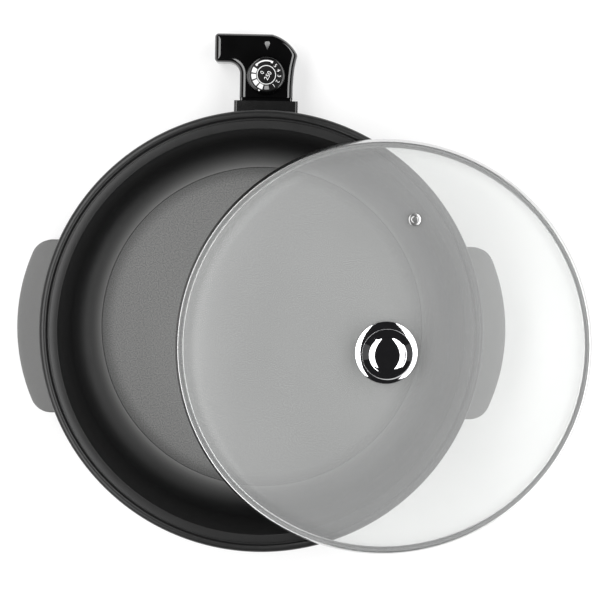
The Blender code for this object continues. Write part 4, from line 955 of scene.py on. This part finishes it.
# Knob: three chromed steel pressings, a dished flange, a mushroom and a domed cap, drawn down on a
# silicone washer by a screw from inside the lid.
chrome = Finish("chrome", (0.80, 0.80, 0.81), 0.05, 1.0)
smear = chrome.grain(7 * MM, 4)
chrome.set("Roughness", 0.03 + 0.05 * smear)
chrome.tint(smear.within(0.2, 0.8), (0.74, 0.74, 0.75), (0.84, 0.84, 0.85))
chrome.bump(chrome.grain(3 * MM, 2), 0.002 * MM)
knob_radius, cap_radius, knob_height = 23.4 * MM, 16.2 * MM, 17 * MM
flange_radius, stem = 29 * MM, 10.5 * MM
knob_base = glass_top + 1.2 * MM + gap
flange_rim = glass_top - 0.1 * MM
flange = [
    (4.3 * MM, knob_base),
    (12.5 * MM, knob_base),
    (flange_radius - 1 * MM, flange_rim + 0.6 * MM),
    *arc(flange_radius - 0.7 * MM, flange_rim + 1.3 * MM, 0.7 * MM, -60, 70, 8),
    (26 * MM, flange_rim + 2.9 * MM),
    (23 * MM, knob_base + 2.0 * MM),
    (20 * MM, knob_base + 2.5 * MM),
    (15 * MM, knob_base + 3.0 * MM),
    (stem + 0.6 * MM, knob_base + 3.2 * MM),
    (4.3 * MM, knob_base + 3.2 * MM),
]
show("flange", lathe(flange, 200), chrome, "lid", "knob_flange", lid_at)
foot = knob_base + 3.2 * MM + gap
crown = foot + knob_height
cap_seat = crown - 2.2 * MM
mushroom = [
    (2.3 * MM, foot),
    (stem, foot),
    (stem, foot + 3 * MM),
    *arc(stem + 5.5 * MM, foot + 3 * MM, 5.5 * MM, 180, 110, 8),
    (knob_radius - 3 * MM, foot + 9.5 * MM),
    *arc(knob_radius - 1 * MM, foot + 10.9 * MM, 1 * MM, -70, 50, 10),
    (knob_radius - 1.6 * MM, foot + 12.8 * MM),
    (cap_radius + 2.4 * MM, crown - 1.6 * MM),
    (cap_radius + 0.9 * MM, crown - 0.5 * MM),
    (cap_radius + gap, crown - 0.7 * MM),
    (cap_radius + gap, cap_seat),
    (2.3 * MM, cap_seat),
]
show("mushroom", lathe(mushroom, 200), chrome, "lid", "knob", lid_at)
cap_top, cap_fall = crown + 1.8 * MM, 2.4 * MM
cap_line = [i / 24 for i in range(24, -1, -1)]
cap = [
    (0, cap_seat + gap),
    (cap_radius, cap_seat + gap),
    *[(cap_radius * share, cap_top - cap_fall * share**4) for share in cap_line],
]
show("cap", lathe(cap, 200), chrome, "lid", "knob_cap", lid_at)

# ------------------------------------------------------------------ screws
# Plated pan-head screws with cross recesses, driven from below.


def screw(name, at, shank, head, height, length, body="base"):
    """A screw whose head hangs below its seat."""
    dome_depth = height * 0.35
    line = [
        (0, -height),
        (head * 0.6, -height),
        *arc(head - dome_depth, -height + dome_depth, dome_depth, -90, 0, 5),
        (head, 0),
        (shank, 0),
        (shank, length - 0.4 * MM),
        (0, length),
    ]
    form = lathe(line, 40)
    for x, y in ((head * 0.5, head * 0.13), (head * 0.13, head * 0.5)):
        slot = [(-x, -y), (x, -y), (x, y), (-x, y)]
        form = carve(form, loft([(slot, z) for z in (-height - 1 * MM, -height * 0.45)]))
    show(name + "_cross_head", form, bright_steel, body, name, at)


for turn, word in zip(lug_turns, ("right_rear", "right_front", "left_front", "left_rear")):
    x, y, _ = round_spot(lug_screw_radius, turn)
    at = (x, y, lug_top - lug_thickness - gap)
    screw(f"handle_screw_{word}", at, 2 * MM, 4 * MM, 2.4 * MM, 10 * MM)
for side, word in ((-1, "left"), (1, "right")):
    at = (side * (block_half - 4.5 * MM), 163 * MM, guard_low - gap)
    screw(f"guard_screw_{word}", at, 1.5 * MM, 3 * MM, 1.8 * MM, 10 * MM)
for (x, y), word in zip(casing_screws, ("dial_end", "arm")):
    at = (x, dial_y + y, body_low + 2.1 * MM)
    screw(f"shell_screw_{word}", at, 1.5 * MM, 3 * MM, 1.8 * MM, 20 * MM, "controller")
knob_seat = lid_z + glass_top - glass_thickness - 2 * gap - 1.2 * MM
screw("knob_screw", (lid_x, lid_y, knob_seat), 2 * MM, 5.2 * MM, 2.2 * MM, 22 * MM, "lid")

# ------------------------------------------------------------------ hidden pieces
# Pieces that lie inside the casing, the block or the knob keep the shape of their solids and take a
# finish of their own.
brass = Finish("brass", (0.65, 0.50, 0.24), 0.3, 1.0)
tarnish = brass.grain(2 * MM, 4)
brass.set("Roughness", 0.22 + 0.2 * tarnish)
brass.tint(tarnish.within(0.2, 0.8), (0.68, 0.53, 0.26), (0.50, 0.37, 0.17))
silicone = Finish("silicone", (0.55, 0.55, 0.55), 0.6)
cloud = silicone.grain(1.5 * MM, 3)
silicone.set("Roughness", 0.55 + 0.12 * cloud)
silicone.tint(cloud.within(0.2, 0.8), (0.50, 0.50, 0.50), (0.60, 0.60, 0.60))
inner_finishes = {
    "satin_steel": bright_steel, "brass": brass, "white_ceramic": ceramic, "rubber": rubber,
    "silicone": silicone, "smoked_lens": smoked, "leg_plastic": bakelite,
}
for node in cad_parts.values():
    if not node.hide_render:
        name = node.material_slots[0].material.name.split(".")[0]
        node.material_slots[0].material = inner_finishes[name].material


# ------------------------------------------------------------------ stage
# A pale table that glows a little, as a light table does, so that it stays clean round the pan.
table_z = cad_box[0][2] - 0.2 * MM
table_form = bmesh.new()
bmesh.ops.create_grid(table_form, x_segments=8, y_segments=8, size=4)
table_mesh = bpy.data.meshes.new("table")
table_form.to_mesh(table_mesh)
table_form.free()
table = bpy.data.objects.new("table", table_mesh)
table.location = (0, 0, table_z)
bpy.context.scene.collection.objects.link(table)
glow = (0.50, 0.50, 0.50, 1)
table_top = Finish("table_top", (0.5, 0.5, 0.5), 0.6, Emission_Strength=1.0, Emission_Color=glow)
table_top.tint(table_top.grain(0.3, 2), (0.495, 0.495, 0.495), (0.505, 0.505, 0.505))
table_mesh.materials.append(table_top.material)
